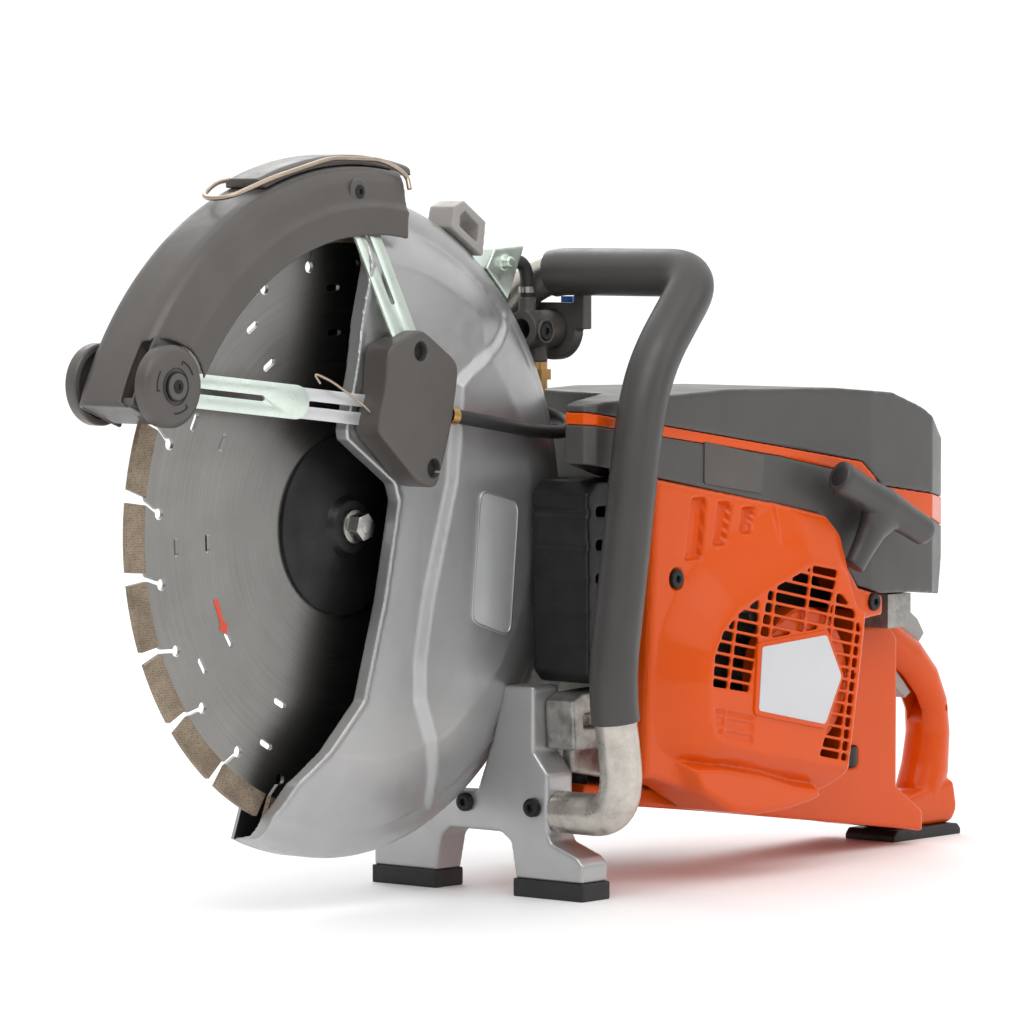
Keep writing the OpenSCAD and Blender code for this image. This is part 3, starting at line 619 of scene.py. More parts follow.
def cast_metal(name, low, high, rough, grain, metal=0.85, scale=90):
    mat, nt, bsdf, vec = tree(name)
    a = noise(nt, vec, scale, 6, 0.65)
    b = noise(nt, vec, scale * 7, 4, 0.6)
    nt.links.new(ramp(nt, a, [(0.32, low), (0.68, high)]), bsdf.inputs["Base Color"])
    nt.links.new(span(nt, a, rough - 0.1, rough + 0.1), bsdf.inputs["Roughness"])
    n = bump(nt, a, grain, 0.0012)
    n = bump(nt, b, grain * 0.7, 0.0003, n)
    nt.links.new(n, bsdf.inputs["Normal"])
    bsdf.inputs["Metallic"].default_value = metal
    return mat


ORANGE = finish_mat("orange_plastic", lin(207, 77, 10), 0.22, tone=0.05, tone_scale=9, rough_span=0.05,
                    grain=0.05, grain_scale=700, spec=0.26, wave=0.03)
DARK = finish_mat("dark_plastic", lin(75, 71, 68), 0.42, tone=0.07, tone_scale=30, grain=0.22,
                  grain_scale=1500, rough_span=0.07)
GRIP = finish_mat("grip_rubber", lin(60, 58, 57), 0.4, tone=0.07, tone_scale=24, grain=0.25,
                  grain_scale=1300, rough_span=0.06)
SHELL = finish_mat("grey_shell", lin(66, 64, 62), 0.4, tone=0.06, tone_scale=18, grain=0.18,
                   grain_scale=1500, rough_span=0.06)
BLACK = finish_mat("black_rubber", lin(30, 29, 29), 0.55, tone=0.15, tone_scale=40, grain=0.3,
                   grain_scale=900)
# Near black: painted shade on the sheets inside the guard, on the plate behind the starter cover, in the pin
# holes and in the roller grooves; also used for the air filter, the starter pulley and the pull bar's end
# cap
DARK_AND_SHADE = finish_mat("dark_and_painted_shade", lin(26, 25, 25), 0.7, tone=0.2, tone_scale=30, grain=0.2)
SILVER = finish_mat("silver_paint", lin(176, 176, 176), 0.36, metal=0.75, tone=0.035, tone_scale=45,
                    rough_span=0.05, grain=0.28, grain_scale=2200)
ZINC = finish_mat("zinc_steel", lin(205, 216, 206), 0.3, metal=0.9, tone=0.07, tone_scale=35,
                  rough_span=0.09, grain=0.15, grain_scale=500)
BRASS = finish_mat("brass", lin(190, 150, 95), 0.33, metal=1.0, tone=0.1, tone_scale=60)
BLUE = finish_mat("blue_plastic", lin(45, 100, 190), 0.35, tone=0.06)
GREY = finish_mat("grey_plastic", lin(150, 146, 141), 0.45, tone=0.05, grain=0.2)
WIRE = finish_mat("spring_wire", lin(170, 155, 138), 0.32, metal=0.95, tone=0.12, tone_scale=80)
BLACKSTEEL = finish_mat("black_steel", lin(38, 38, 39), 0.4, metal=0.6, tone=0.2, tone_scale=60,
                        grain=0.2)
STEEL = finish_mat("plain_steel", lin(170, 168, 164), 0.3, metal=1.0, tone=0.08, tone_scale=60)
PALE = finish_mat("badge_plate", lin(196, 197, 200), 0.35, metal=0.1, tone=0.025, tone_scale=20,
                  grain=0.05)
PALE_SILVER = finish_mat("label_plate", lin(196, 197, 198), 0.33, metal=0.5, tone=0.03, tone_scale=40,
                         grain=0.1)
RED = finish_mat("red_paint", lin(205, 72, 45), 0.5, tone=0.08, tone_scale=120)
RAW = cast_metal("raw_casting", lin(120, 118, 114), lin(178, 175, 170), 0.45, 0.5)
TUBE = cast_metal("bare_tube", lin(166, 160, 152), lin(206, 201, 193), 0.3, 0.12, metal=0.95, scale=60)
BLADE = steel_blade()
SEGMENT = diamond_matrix()


# ---------------------------------------------------------------- CAD nodes shown as they are
PLAIN = {
    "blade_core": BLADE, "blade_bushing": STEEL, "inner_flange": STEEL, "spindle": STEEL,
    "driven_pulley": STEEL, "spindle_bearings": STEEL, "drive_belt": BLACK,
    "drive_pulley": STEEL, "clutch_shoes": BLACKSTEEL, "crankshaft": STEEL, "flywheel": RAW, "piston": STEEL,
    "carburettor": RAW, "air_filter": DARK_AND_SHADE, "starter_pulley": DARK_AND_SHADE, "inlet_fitting": BRASS,
    "valve_lever": BLUE, "choke_knob": BLUE, "decompression_button": BLUE, "stop_switch": RED,
    "blade_segments": SEGMENT,
}
for node, mat in PLAIN.items():
    mesh = frame["nodes"][node].data
    mesh.materials.clear()
    mesh.materials.append(mat)

# ---------------------------------------------------------------- castings and mouldings
# node, material, grid size of the rebuilt surface, smoothing passes
MOULDED = [
    ("stand", SILVER, 1.2, 8), ("top_cover", SHELL, 1.2, 14), ("side_band", SHELL, 1.2, 4),
    ("trim_stripe", ORANGE, 1.2, 2), ("tank_unit", ORANGE, 1.3, 8), ("cutting_arm", RAW, 1.5, 5),
    ("belt_cover", DARK, 1.5, 8), ("crankcase", RAW, 1.3, 6), ("muffler", BLACKSTEEL, 1.3, 6),
    ("guard_handle", GREY, 0.9, 6), ("guard_clamp", ZINC, 0.8, 2), ("handle_bracket", DARK, 0.8, 3),
    ("water_valve", DARK, 0.8, 3), ("rubber_mounts", BLACK, 1.0, 3), ("fuel_cap", BLACK, 0.8, 3),
    ("throttle_trigger", GREY, 0.7, 10), ("throttle_lockout", GREY, 0.7, 10),
    ("guard_pad", DARK, 0.8, 10),
]
for node, mat, grid, passes in MOULDED:
    moulded(node, mat, grid, passes)
for node, mat in (("engine_cylinder", RAW), ("body_screws", BLACKSTEEL), ("outer_flange", BLACKSTEEL),
                  ("arbor_bolt", STEEL), ("roller_axle", BLACKSTEEL)):
    bevelled(node, mat)

# ---------------------------------------------------------------- front handle
TUBE_R = 14
SLEEVE_R = 16
SLEEVE_START_Z = 113
SLEEVE_END_Y, SLEEVE_END_Z = 4, 405
TUBE_ROUTE = [(140, -69.4, 57), (140, -126, 57), (127, -123.5, 146), (137, -123, 200), (157, -123, 322),
              (172, -123, 358), (222, -122, 413), (222, 16, 413), (206, 45, 380), (198, 46, 330),
              (186, 43, 244)]
TUBE_BENDS = [0, 40, 26, 30, 30, 24, 26, 26, 24, 24, 0]
tube_path = rounded_path(TUBE_ROUTE, TUBE_BENDS, 14)
stand_in(pipe(tube_path, TUBE_R, "handle_tube", TUBE, 48), "front_handle")
start = next(i for i, p in enumerate(tube_path) if p[2] > SLEEVE_START_Z)
stop = next(i for i, p in enumerate(tube_path) if p[2] > SLEEVE_END_Z and p[1] > SLEEVE_END_Y)
stand_in(pipe(tube_path[start:stop], SLEEVE_R, "handle_sleeve", GRIP, 48), "handle_grip")

# ---------------------------------------------------------------- hose and wires
HOSE_ROUTE = [(53, -46, 322), (90, -50, 316), (140, -43, 309), (182, -35, 306), (210, -22, 309),
              (220, -5, 313), (220, 10, 317), (208, 26, 324), (196, 26, 345), (181, 25, 380),
              (176, 24, 404), (183, 17, 418), (193, 11, 421), (200, 10, 414), (200, 10, 396.2)]
hose_path = rounded_path(HOSE_ROUTE, 18, 8)
hose = pipe(hose_path, 4.6, "feed_hose", BLACK, 20)
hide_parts("water_hose")
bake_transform(hose, "guard", "machine", at(60, -46, 321), at(165, -39, 308))


def around(r, a, y):
    """The point at radius r and bearing a, in degrees, round the blade axis."""
    a = math.radians(a)
    return (r * math.cos(a), y, AXIS_Z + r * math.sin(a))


def on_side(r, a):
    """The same point seen from the side, as (x, z)."""
    return around(r, a, 0)[::2]


BAIL = [around(222, 80, -26), around(232, 80, -22), around(239, 84, -15), around(240, 96, -15),
        around(240, 110, -15), around(241, 118, -6), around(241, 118, 18), around(240, 112, 27),
        around(236, 108, 30)]
stand_in(pipe(rounded_path(BAIL, 12, 8), 1.6, "bail", WIRE, 14), "wire_bail")
SPRING = [(-60, -36.4, 345), (-66, -35.8, 352), (-52, -39.5, 346), (-30, -46, 331), (-24, -47, 326)]
stand_in(pipe(rounded_path(SPRING, 6, 8), 0.8, "spring", WIRE, 12), "link_spring")


# ---------------------------------------------------------------- main guard
FRONT_EDGE = [(-78, 73), (-72, 88), (-17, 139), (3, 203), (17, 267), (13, 278), (-33, 308), (-34, 315),
              (-5, 422), (-2.4, 452)]


def arc(r, a0, a1, n):
    return [on_side(r, a0 + (a1 - a0) * k / n) for k in range(n + 1)]


def bearing(p):
    return math.degrees(math.atan2(p[1] - AXIS_Z, p[0]))


GUARD_R = 216
HUB_R = 32.2
HUB_TURN, HUB_STEPS = 352.5, 47
FACE_Y, RIM_Y = -34, -14       # the flat face, and the foot of its slope out to the rim
BACK_Y, GUARD_BACK_Y = 15.6, 18
SLOPE_END = 198                # radius where the slope ends and the rounded rim starts
GUARD_OUTLINE = FRONT_EDGE + arc(GUARD_R, bearing((-1, 466)), bearing((-83.5, 58)), 110)
PANEL = [(75, 341), (73, 311), (69, 278), (57, 240), (45, 201), (37, 162), (37, 136), (49, 106), (64, 71),
         (90, 30), (260, 30), (260, 440), (163, 395), (148, 386), (132, 375), (119, 366.5), (102, 358),
         (85, 348)]


def guard_face(x, z):
    """The guard's near face: flat, then a bulged slope, a rounded rim, a raised panel and a lip."""
    r = math.hypot(x, z - AXIS_Z)
    up = ease((z - 350) / 40)
    slope_start = 150 + 20 * up
    flat = FACE_Y + 3 * up
    if r < slope_start:
        y = flat
    elif r < SLOPE_END:
        t = (r - slope_start) / (SLOPE_END - slope_start)
        y = flat * (1 - t) + RIM_Y * t
        y -= 2.2 * math.sin(math.pi * t)
    else:
        t = (r - SLOPE_END) / (GUARD_R - SLOPE_END)
        y = RIM_Y + 10 * (1 - math.sqrt(max(0, 1 - t * t))) + 2 * t
    fade = ease((212 - r) / 22)
    y -= 4.2 * ease(0.5 - signed((x, z), PANEL) / 7.5) * fade
    y -= 2.0 * ease(1.6 - line_dist((x, z), FRONT_EDGE) / 3.0)
    return y


def guard_rim(x, z):
    """How far back the rim runs: to the back round the outside, and a narrow lip along the front."""
    if math.hypot(x, z - AXIS_Z) > GUARD_R - 0.6:
        return GUARD_BACK_Y
    return guard_face(x, z) + 11


near = skin(GUARD_OUTLINE, guard_face, "guard_face", SILVER, guard_rim, 2.5, 3.0)
soften(near, SILVER, 1.15, 4)
stand_in(near, "blade_guard")
# the far plate, and in front of it a thin near-black sheet: painted shade on the guard's inside
for name, y, mat, thick in (("guard_back", BACK_Y, SILVER, 2.4),
                            ("guard_shade_sheet", BACK_Y - 0.5, DARK_AND_SHADE, 0.4)):
    far = skin(GUARD_OUTLINE, lambda x, z: y, name, mat, None, thick, 12.0)
    cut(far, [prism(arc(HUB_R, 0, HUB_TURN, HUB_STEPS), 10, 30, "hub", None, smooth=0)])
    shade(far, 30)
    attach(far, "guard")


def inner_face(x, z):
    """A surface behind the near face, further back along the lip."""
    return guard_face(x, z) + (3.4 if line_dist((x, z), FRONT_EDGE) > 7 else 5.4)


SHRINK = 0.985     # the painted shade sheet's size beside the guard's
inner_outline = [(x * SHRINK + (3 if i < len(FRONT_EDGE) else 0), AXIS_Z + (z - AXIS_Z) * SHRINK)
                 for i, (x, z) in enumerate(GUARD_OUTLINE)]
# a near-black sheet just behind the near face: painted shade inside the guard
near_shade_sheet = skin(inner_outline, inner_face, "guard_inner_shade", DARK_AND_SHADE, None, 0.5, 8.0)
shade(near_shade_sheet, 40)
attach(near_shade_sheet, "guard")

LABEL = [(94, 272), (134, 263), (125, 172), (84, 184)]
LABEL_X, LABEL_Z = 109, 223
label_out = rounded_outline(LABEL, 9)
label_in = [(LABEL_X + (x - LABEL_X) * 0.93, LABEL_Z + (z - LABEL_Z) * 0.965) for x, z in label_out]
label_frame = prism(label_out, -39.6, -36.5, "label_frame", SILVER, bevel=0.7, holes=[label_in],
                    only="low")
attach(label_frame, "guard")
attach(prism(label_in, -38.9, -37, "label_face", PALE_SILVER, bevel=0.2), "guard")

# ---------------------------------------------------------------- front guard
def band(profile, a0, a1, steps, name, mat, voxel, passes, tools=()):
    """A wall section (radius, y) carried round the blade axis between two bearings."""
    bm = bmesh.new()
    rings = [[bm.verts.new(at(*around(r, a0 + (a1 - a0) * k / steps, y))) for r, y in profile]
             for k in range(steps + 1)]
    bridge_closed(bm, rings)
    obj = from_bm(bm, name, mat, 0)
    cut(obj, tools)
    return soften(obj, mat, voxel, passes)


def rod(x, z, y0, y1, r, name="rod", mat=None):
    return prism(circle(x, z, r, 48), y0, y1, name, mat, smooth=0)


AXLE = (-189, 346)
AXLE_R = 5.1
SHELL_PROFILE = [(189, -30.5), (207, -28.6), (211, -25.6), (224, -21.8), (230, -18.5), (233, -14.5),
                 (234, -8), (234, 20), (232.5, 25), (228, 28), (190, 28), (190, 25.6), (227, 25.6),
                 (231.3, 21), (231.4, -8), (230.3, -13), (227.5, -16), (222, -18.8), (211, -22.4),
                 (206, -25.6), (189, -27.6)]
notch = [AXLE, (-225, 300), (-150, 300), on_side(186, 150), on_side(206, 149.5)]
shell_cuts = [rod(*AXLE, -60, -10.5, 29), rod(*AXLE, 10, 60, AXLE_R),
              prism(notch, -60, -10, "n", None, smooth=0)]
stand_in(band(SHELL_PROFILE, 80, 159, 60, "front_shell", DARK, 1.2, 4, shell_cuts), "front_guard")


def in_shell(x, z):
    """The (x, z) point moved, where it is outside, to inside the shell's own section."""
    r = max(190, min(231, math.hypot(x, z - AXIS_Z)))
    return on_side(r, min(158.4, bearing((x, z))))


# the wall behind the near roller, and the wall that closes the shell's end
pocket_edge = [in_shell(x, z) for x, z in circle(*AXLE, 31, 72)]
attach(prism(pocket_edge, -19.4, -17.4, "pocket", DARK, bevel=0.4), "front_guard")
end_section = [(197, -18), (231.2, -18), (231.2, 25.5), (197, 25.5)]
end_wall = band(end_section, 157.2, 158.8, 4, "end_wall", DARK, 0.9, 2, [rod(*AXLE, -40, 60, 9)])
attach(end_wall, "front_guard")
lug = rounded_outline([on_side(233, 148), on_side(233, 158.6), on_side(203, 159), on_side(203, 147)], 8)
for y0, y1 in ((-9.8, -5.8), (21, 25.6)):
    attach(prism(lug, y0, y1, "lug", DARK, bevel=0.8), "front_guard")


NEAR = (0, -1, 0)     # the way that a screw on the starter side faces


def torx(centre, r, axis, name, depth, body="machine", mat=BLACKSTEEL):
    """A low round screw head with a six-lobed recess."""
    c = Vector(centre)
    a, u, v = axes(axis)
    turns = [2 * math.pi * k / 48 for k in range(48)]
    bm = bmesh.new()
    rings = []
    # each ring: its radius over the head's, its height over the head's, and whether it is lobed
    for wide, high, lobed in ((1, 0, False), (1, 0.72, False), (0.93, 0.93, False), (0.82, 1, False),
                              (0.55, 1, False), (0.40, 0.97, True), (0.40, 0.25, True)):
        radii = [r * (wide + (0.075 * math.cos(6 * t) if lobed else 0)) for t in turns]
        rings.append([bm.verts.new(at(*(c + a * depth * high + (u * math.cos(t) + v * math.sin(t)) * reach)))
                      for t, reach in zip(turns, radii)])
    bridge_closed(bm, rings)
    obj = from_bm(bm, name, mat, 35)
    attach(obj, body)
    return obj


torx((-9, -22.2, 467), 8.5, NEAR, "pin_head", 3.0, "front_guard", DARK)
torx((-9, -24.4, 467), 4.6, NEAR, "pin_screw", 1.4, "front_guard")


GROOVE_R, GROOVE_TURN = 16.8, 0.75


def wheel(name, near_y, far_y, face, node):
    """A guard roller; face is -1 where its worked face looks to the starter side."""
    lo, hi = near_y, far_y
    profile = [(AXLE_R, lo + 0.6), (9.6, lo), (10.4, lo), (10.6, lo + 1.0), (11.4, lo + 1.0),
               (11.8, lo + 0.2), (21.6, lo + 0.2), (23.2, lo + 0.8), (25.6, lo + 3.2), (26, lo + 4),
               (26, hi - 1.4), (25.2, hi - 0.4), (24, hi), (22, hi), (21, hi - 3.5), (8, hi - 3.5),
               (7.6, hi), (AXLE_R, hi)]
    if face > 0:
        profile = [(r, lo + hi - y) for r, y in profile]
    stand_in(lathe(profile, name, DARK, AXLE, smooth=28), node)
    # the grooves on the worked face, drawn as thin near-black tubes: painted shade in the grooves
    groove_y = lo + 0.2 if face < 0 else hi - 0.2
    for k in range(3):
        first = math.radians(25 + 120 * k)
        last = first + GROOVE_TURN
        path = [Vector((AXLE[0] + GROOVE_R * math.cos(t), groove_y, AXLE[1] + GROOVE_R * math.sin(t)))
                for t in [first + GROOVE_TURN * i / 12 for i in range(13)]]
        inward = Vector((-math.cos(last), 0, -math.sin(last))) * 2.2
        path += [path[-1] + inward * t for t in (0.5, 1.0)]
        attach(pipe(path, 0.55, name + "_groove_%d" % k, DARK_AND_SHADE, 8), body_of(node))


wheel("near_roller", -32.3, -20.3, -1, "roller_left")
wheel("far_roller", 30, 42, 1, "roller_right")
torx((AXLE[0], -32.9, AXLE[1]), 8.6, NEAR, "axle_head", 1.6, "front_guard", DARK)
torx((AXLE[0], -34.0, AXLE[1]), 4.4, NEAR, "axle_screw", 0.9, "front_guard")


# ---------------------------------------------------------------- guard links
def strap(a, b, ya, yb, w, t, slots, holes, name, mat, shift=0):
    """A flat strip of width w and thickness t between two (x, z) points, leaning from y = ya to yb.
    Its slots are (from, to, half width) and its holes (place, radius), all along its length."""
    start, end = Vector((a[0], ya + shift, a[1])), Vector((b[0], yb + shift, b[1]))
    forward = (end - start).normalized()
    aside = Vector((-forward.z, 0, forward.x)).normalized()
    outward = forward.cross(aside)
    openings = [stadium(p, q, r) for p, q, r in slots] + [circle(c, 0, r, 32) for c, r in holes]
    obj = prism(stadium(0, (end - start).length, w / 2), -t / 2, t / 2, name, mat, plane="xy",
                bevel=0.35, segments=2, holes=openings)
    here = at(0, 0, 0)
    for v in obj.data.vertices:
        p = (v.co - here) * 1000
        v.co = at(*(start + forward * p.x + aside * p.y + outward * p.z))
    obj.data.update()
    return obj


UPPER_PIN, LOWER_HOLE = (16, 364), (29, 288)
stand_in(strap(UPPER_PIN, (-8.5, 465.05), -46.2, -17.1, 23, 1.7, [(34, 84, 1.9)], [(0, 3.1), (107.9, 6.5)],
               "upper_strap", ZINC), "upper_link")
stand_in(strap((5, 324), (-84, 334.1), -43.5, -28.8, 20, 1.8, [(20, 70, 1.8)], [(0, 3.2)],
               "inner_strap", PALE_SILVER, 1.3), "lower_link_inner")
stand_in(strap(AXLE, (-78, 333.4), -11.5, -29.8, 22, 1.8, [(34, 86, 1.8)], [(0, 7)],
               "outer_strap", ZINC, -1.3), "lower_link_outer")

# ---------------------------------------------------------------- link housing
BOX = [(-16, 367), (14, 378), (20, 377), (53, 356), (52, 343), (46, 315), (33, 278), (27, 275), (14, 279),
       (-27, 314), (-18, 341)]
housing = prism(rounded_outline(BOX, 8), -56, -35, "link_housing", DARK, bevel=5.6, segments=6,
                only="low")
cut(housing, [rod(*place, -60, -46, 6.4) for place in (UPPER_PIN, LOWER_HOLE)])
soften(housing, DARK, 0.8, 4)
stand_in(housing, "pivot_box")
# near-black discs at the foot of the pin holes: painted shade
for place in (UPPER_PIN, LOWER_HOLE):
    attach(rod(*place, -50.5, -47.5, 6.7, "pin_hole_shade", DARK_AND_SHADE), "guard")

# ---------------------------------------------------------------- starter cover
COVER = [(198, 277), (325, 256), (381, 245), (394, 230), (412, 208), (424, 193), (452, 186), (452, 172),
         (430, 170), (412, 176), (406, 140), (397, 92), (392, 66), (383, 56), (360, 50), (330, 46),
         (296, 45), (270, 49), (250, 58), (232, 67), (200, 76), (186, 78)]
# the raised field round the air intake, and the lower bulge
FIELD = [(347, 216), (378, 211), (393, 196), (400, 181), (411, 177), (406, 140), (396, 92), (391, 70),
         (359, 76), (300, 87), (252, 97), (240, 104), (235, 118), (235, 139), (239, 158), (249, 174),
         (266, 188), (308, 203)]
LOBE = [(222, 84), (257, 82), (302, 74), (338, 64), (364, 60), (372, 50), (330, 38), (296, 38),
        (262, 46), (236, 60)]
LOUVRES = [[(237.5, 262.0), (251.5, 262.0), (246.2, 222), (229.8, 221)],
           [(265.4, 258.0), (279.4, 257.2), (271.8, 229.4), (260.0, 228.8)],
           [(291.8, 253.6), (305.4, 252.6), (298.8, 236.3), (288.6, 236)]]


COVER_Y, FIELD_RISE, LOBE_RISE = -104, 16, 11
COVER_BACK_Y = -68


def cover_face(x, z):
    """The starter cover's near face: field, lower bulge, step, rounded rim and louvre recesses."""
    d = signed((x, z), FIELD)
    reach = 40 if z > 100 else 40 - 20 * ease((100 - z) / 20)
    if x > 392:
        reach = 4
    t = max(0, min(1, 1 - d / reach))
    rise = 0.7 * t + 0.3 * ease(t)
    bulge = ease(0.5 - signed((x, z), LOBE) / 9)
    y = COVER_Y - max(FIELD_RISE * rise, LOBE_RISE * bulge)
    y -= 2.4 * ease((x - 321 - 0.12 * (z - 230)) / 3) * ease((z - 222) / 12) * (1 - rise)
    rim = line_dist((x, z), COVER + COVER[:1])
    y += 4 * (1 - math.sqrt(max(0, 1 - (1 - min(rim, 5) / 5) ** 2)))
    if 226 < x < 308 and 218 < z < 265:
        y += 5.0 * ease(0.5 - min(signed((x, z), q) for q in LOUVRES) / 1.6)
    return y


cover = skin(COVER, cover_face, "starter_shell", ORANGE, lambda x, z: COVER_BACK_Y, 3.0, 1.7)

# The grille's own directions: u runs along the cover, leaning down, and v runs across it
GRILLE_TURN = math.radians(10.65)
GRILLE_X, GRILLE_Z = 235.7, 110.2
PITCH = 8.25       # from one cross bar to the next


def grille_cell(column, row, margin_u, margin_v):
    """The outline of one opening between the ribs and the cross bars."""
    c, s = math.cos(GRILLE_TURN), math.sin(GRILLE_TURN)
    u0, u1 = RIBS[column] + margin_u, RIBS[column + 1] - margin_u
    v0, v1 = row * PITCH + margin_v, (row + 1) * PITCH - margin_v
    return [(GRILLE_X + c * u + s * v, GRILLE_Z - s * u + c * v)
            for u, v in ((u0, v0), (u1, v0), (u1, v1), (u0, v1))]


RIBS = [-12, 16.0, 54.9, 92.1, 122.3, 148.4, 176]
BADGE = [(361.9, 164.2), (378.8, 134.9), (360.5, 103.0), (286.5, 117.2), (290.3, 160.2)]
BADGE_EDGE = [(289.0, 163.2), (286, 161), (282.6, 117), (284, 114.4), (361.5, 99.6), (382, 134.6),
              (364, 167.6)]
# open parts of the grille, each a convex outline that runs anticlockwise
OPEN = [
    [(239.5, 136.5), (287.0, 128.8), (288.6, 161.5), (300, 197), (266.5, 183), (250.5, 172), (241.8, 156.5)],
    [(289.5, 164.5), (363, 169.0), (379, 207.5), (350.5, 212.0), (309, 199.8), (300, 197)],
    [(364.5, 168.8), (383.4, 135.6), (399, 136), (405.5, 171.5), (396, 179.5), (379.5, 206)],
    [(357.5, 81.5), (388.5, 75.5), (399, 136), (383.4, 135.2)],
]
# the part of the grille where the cells are only dents
CLOSED = [(243, 107), (252, 100.5), (300, 91.5), (355, 81), (361.5, 98.8), (283.5, 113.6), (284.5, 127),
          (239.0, 134.2)]
LEAST_WIDTH = 2.5      # narrower slivers of a cell are left closed
openings, dents = [], []
for column in range(len(RIBS) - 1):
    for row in range(-5, 16):
        for region in OPEN:
            part = clip(grille_cell(column, row, 1.1, 1.05), region)
            if len(part) > 2 and max(p[0] for p in part) - min(p[0] for p in part) > LEAST_WIDTH:
                openings.append(prism(part, -130, -112, "h", None, smooth=0))
for column in range(4):
    for row in range(-3, 4):
        part = clip(grille_cell(column, row, 0.9, 0.9), CLOSED)
        if len(part) > 2:
            dents.append(prism(part, -130, -118.4, "d", None, smooth=0))
dents.append(rod(220, 209, -112, -101.8, 7.6))
cut(cover, [joined(openings, "grille_cut"), joined(dents, "dent_cut")])
soften(cover, ORANGE, 0.85, 3)
stand_in(cover, "starter_cover")


def plate_piece(points, near_y, far_y, name, mat, bevel):
    """A thin plate with rounded corners, its near rim rounded, fixed to the machine."""
    obj = prism(rounded_outline(points, 2.5), near_y, far_y, name, mat, bevel=bevel, only="low")
    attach(obj, "machine")


plate_piece(BADGE_EDGE, -121.6, -118.6, "badge_frame", ORANGE, 0.8)
plate_piece(BADGE, -122.2, -121.0, "badge_face", PALE, 0.3)
# a near-black plate behind the starter cover, seen through the grille: painted shade
cover_shade_plate = [(305 + (x - 305) * 0.975, 160 + (z - 160) * 0.97) for x, z in COVER]
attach(prism(cover_shade_plate, -72, -70.5, "cover_back_shade", DARK_AND_SHADE), "machine")
FAN_RING = [(2, -115.9), (47, -115.9), (49, -114.6), (49, -100), (47, -100), (47, -114), (2, -114.6)]
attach(lathe(FAN_RING, "fan_ring", ORANGE, (345, 135)), "machine")
for place in ((220, -102.2, 209), (439, -103.2, 182)):
    torx(place, 6.2, NEAR, "cover_screw", 3.2)

# ---------------------------------------------------------------- starter handle
PULL_TOP = Vector((430, -120, 250))
BAR_LEAN = math.radians(113)      # from straight up
along = Vector((math.sin(BAR_LEAN), 0, math.cos(BAR_LEAN)))
foot = Vector((404, -113, 208))


def loft(stations, name, mat, n=32, up=(0, 1, 0)):
    """A solid carried through (centre, half width, half depth) stations."""
    bm = bmesh.new()
    rings = []
    turns = [2 * math.pi * k / n for k in range(n)]
    for i, (c, w, d) in enumerate(stations):
        p, q = stations[max(i - 1, 0)][0], stations[min(i + 1, len(stations) - 1)][0]
        t = (Vector(q) - Vector(p)).normalized()
        side = Vector(up) - t * t.dot(Vector(up))
        side.normalize()
        other = t.cross(side)
        rings.append([bm.verts.new(at(*(Vector(c) + side * d * math.cos(a) + other * w * math.sin(a))))
                      for a in turns])
    bridge_closed(bm, rings)
    return from_bm(bm, name, mat, 50)


# Each row: how far along the bar or the stem, half width, half depth
BAR = [(-57, 7.5, 6.5), (-56.4, 9.5, 7.6), (-54, 10.2, 8.4), (-30, 9.2, 8.6), (-8, 10.4, 9.2), (0, 11, 9.4),
       (8, 10.4, 9.2), (30, 9.2, 8.6), (48, 9.0, 8.2), (52, 8, 7.4), (54, 5.5, 5), (54.6, 2, 2)]
STEM = [(0, 5.5, 5.2), (0.03, 6.6, 6), (0.3, 7.2, 6.6), (0.6, 9.5, 7.6), (0.8, 14, 8.6), (0.93, 21, 8.4),
        (1.0, 26, 6.5)]
CAP = [(-57.5, 6.4, 5.2), (-57.2, 7, 5.8), (-56, 7.2, 6.0)]
bar = loft([(PULL_TOP + along * k, w * 1.18, d * 1.14) for k, w, d in BAR], "pull_bar", GRIP)
stem = loft([(foot + (PULL_TOP - foot) * k, w * 1.22, d * 1.15) for k, w, d in STEM], "pull_stem", GRIP)
cut(bar, [stem], "UNION")
soften(bar, GRIP, 0.8, 6)
stand_in(bar, "starter_handle")
cap = loft([(PULL_TOP + along * k, w, d) for k, w, d in CAP], "bar_cap", DARK_AND_SHADE)
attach(cap, body_of("starter_handle"))

# ---------------------------------------------------------------- rear handle
MID = -20             # the handle's middle plane
BASE_HALF, SLIT_HALF = 16, 6.8
# Each row: x, z, half width, half depth
LOOP = [(528, 155, 15, 13), (548, 154, 16, 14.5), (567, 142, 16.5, 15), (588, 130, 17, 15.5),
        (606, 113, 17, 15.5), (616, 95, 16.5, 15.5), (618.5, 74, 17.5, 15.5), (615, 48, 20, 16),
        (606, 27, 20, 16.4), (596, 22, 14, 15)]
BASE = [(524.6, 44), (556.4, 24), (556.4, 8), (628, 8), (635, 18), (630, 40), (585, 33), (568, 29),
        (552, 34), (534, 52), (533, 138), (548, 142), (545, 166), (524.6, 167)]
SLIT = [(544, 142), (544, 122), (556, 116), (600, 80), (614, 100), (606, 116), (600, 122), (618, 133),
        (604, 156), (560, 180), (560, 146)]
grip_bar = loft([((x, MID, z), w, d) for x, z, w, d in LOOP], "loop", ORANGE)
base_bar = prism(rounded_outline(BASE, 5), MID - BASE_HALF, MID + BASE_HALF, "base", ORANGE, bevel=4,
                 segments=4)
loop = joined([grip_bar, base_bar], "rear_loop")
soften(loop, ORANGE, 1.1, 8)
slit = prism(SLIT, MID - SLIT_HALF, MID + SLIT_HALF, "g", None, smooth=0)
cut(loop, [slit, rod(622, 92, -60, MID - 12.5, 2.6)])
shade(loop, 40)
stand_in(loop, "rear_handle")

# ---------------------------------------------------------------- marks, clamps and small parts
ARROW = [(-120.9, 207.9), (-117.2, 208.9), (-111.1, 193.2), (-107.7, 193),
         (-108.6, 185.2), (-115.4, 188.8), (-114.4, 192.3)]
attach(prism(ARROW, 0.12, 0.42, "turn_mark", RED), "blade")


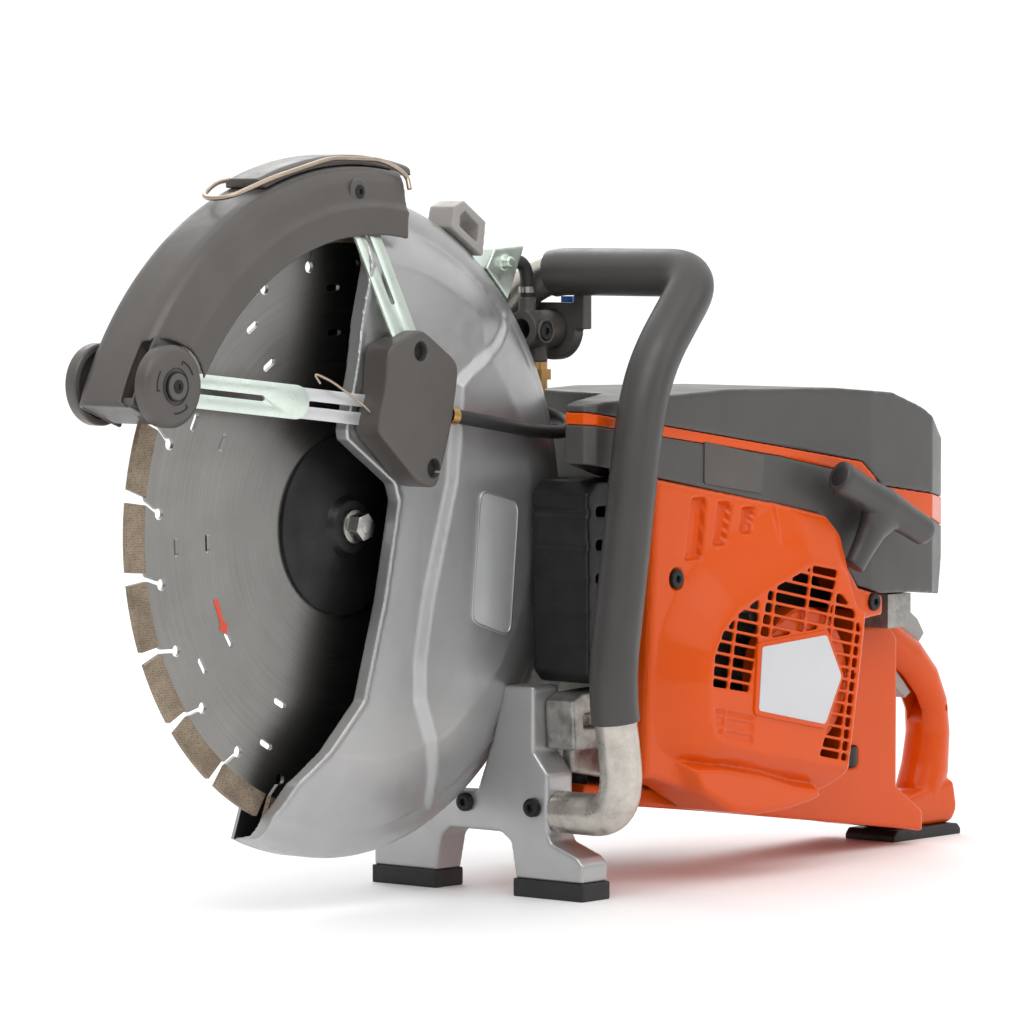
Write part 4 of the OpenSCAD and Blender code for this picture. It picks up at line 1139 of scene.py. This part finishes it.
def clamp(centre, axis, r, body, mat, w, name):
    """A band of width w round a hose, with two ears."""
    c = Vector(centre)
    a, u, v = axes(axis)
    bm = bmesh.new()
    rings = []
    for h, rr in ((-w / 2, r), (-w / 2, r + 0.9), (w / 2, r + 0.9), (w / 2, r)):
        rings.append([bm.verts.new(at(*(c + a * h + (u * math.cos(t) + v * math.sin(t)) * rr)))
                      for t in [2 * math.pi * k / 32 for k in range(32)]])
    bridge(bm, rings + rings[:1])
    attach(from_bm(bm, name, mat), body)
    ear = c + u * (r + 2.6)
    for offset in (-1.4, 1.4):
        root = ear + v * offset
        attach(pipe([root - u * 2.2, root + u * 1.6], 1.1, name + "_ear", mat, 8), body)


clamp((57, -46.4, 321.2), (1, -0.1, -0.16), 4.9, "guard", BRASS, 6, "box_clamp")
clamp((200, 10, 401), (0, 0, 1), 4.9, "machine", STEEL, 4, "valve_clamp")
torx((203, -3.2, 373), 6.2, NEAR, "valve_screw", 2.0)
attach(torus_ring((203, -4.2, 373), 7.6, 1.0, (0, 1, 0), "valve_ring", DARK), "machine")
for y in (-57, 1.4):
    torx((127.4, y, 60), 6.3, (-1, 0, 0), "stand_screw", 4.6)
NAME_PLATE = [(252.5, 299.4), (317.5, 288.4), (316.2, 262.0), (252.0, 271.4)]
plate_piece(NAME_PLATE, -102.0, -100.6, "name_plate", DARK, 0.4)

# ---------------------------------------------------------------- floor and light
floor_mat = finish_mat("floor", (0.965, 0.965, 0.965), 0.6, tone=0.01, tone_scale=3, grain=0.02,
                       grain_scale=60)
bpy.ops.mesh.primitive_plane_add(size=60, location=(0, 0, 0))
floor = bpy.context.object
floor.name = "floor"
floor.data.materials.append(floor_mat)

world = bpy.data.worlds.new("studio")
world.use_nodes = True
bpy.context.scene.world = world
sky = world.node_tree
back = sky.nodes["Background"]
back.inputs["Color"].default_value = (1, 1, 1, 1)
direction = sky.nodes.new("ShaderNodeTexCoord")
far_side = sky.nodes.new("ShaderNodeVectorMath")
far_side.operation = "DOT_PRODUCT"
far_side.inputs[1].default_value = (0.764, 0.645, 0)
sky.links.new(direction.outputs["Generated"], far_side.inputs[0])
height_of = sky.nodes.new("ShaderNodeSeparateXYZ")
sky.links.new(direction.outputs["Generated"], height_of.inputs[0])


def sky_range(value, a, b, low, high):
    """Maps value, from the span a to b, onto the span low to high."""
    node = sky.nodes.new("ShaderNodeMapRange")
    for i, v in enumerate((a, b, low, high)):
        node.inputs[i + 1].default_value = v
    sky.links.new(value, node.inputs[0])
    return node.outputs[0]


around_sky = sky_range(far_side.outputs["Value"], -0.2, 0.8, 0.42, 1.06)
overhead = sky_range(height_of.outputs["Z"], 0.3, 0.75, 0, 1)
mixer = sky.nodes.new("ShaderNodeMix")
mixer.inputs["B"].default_value = 1.4
sky.links.new(overhead, mixer.inputs["Factor"])
sky.links.new(around_sky, mixer.inputs["A"])
sky.links.new(mixer.outputs["Result"], back.inputs["Strength"])
bpy.context.scene.view_settings.view_transform = "Standard"
bpy.context.scene.view_settings.look = "None"


def area(name, place, target, size, power):
    """A rectangular light, in metres and watts, aimed at target."""
    data = bpy.data.lights.new(name, "AREA")
    data.shape = "RECTANGLE"
    data.size, data.size_y = size
    data.energy = power
    obj = bpy.data.objects.new(name, data)
    bpy.context.scene.collection.objects.link(obj)
    obj.location = place
    obj.rotation_euler = (Vector(target) - Vector(place)).to_track_quat("-Z", "Y").to_euler()


area("key", (-1.6, -1.2, 2.2), (0, 0, 0.25), (1.6, 1.2), 20)
area("fill", (0.6, -2.4, 1.3), (0, 0, 0.25), (1.4, 1.4), 8)
area("rim", (1.2, 1.8, 1.8), (0, 0, 0.3), (1.2, 1.2), 12)
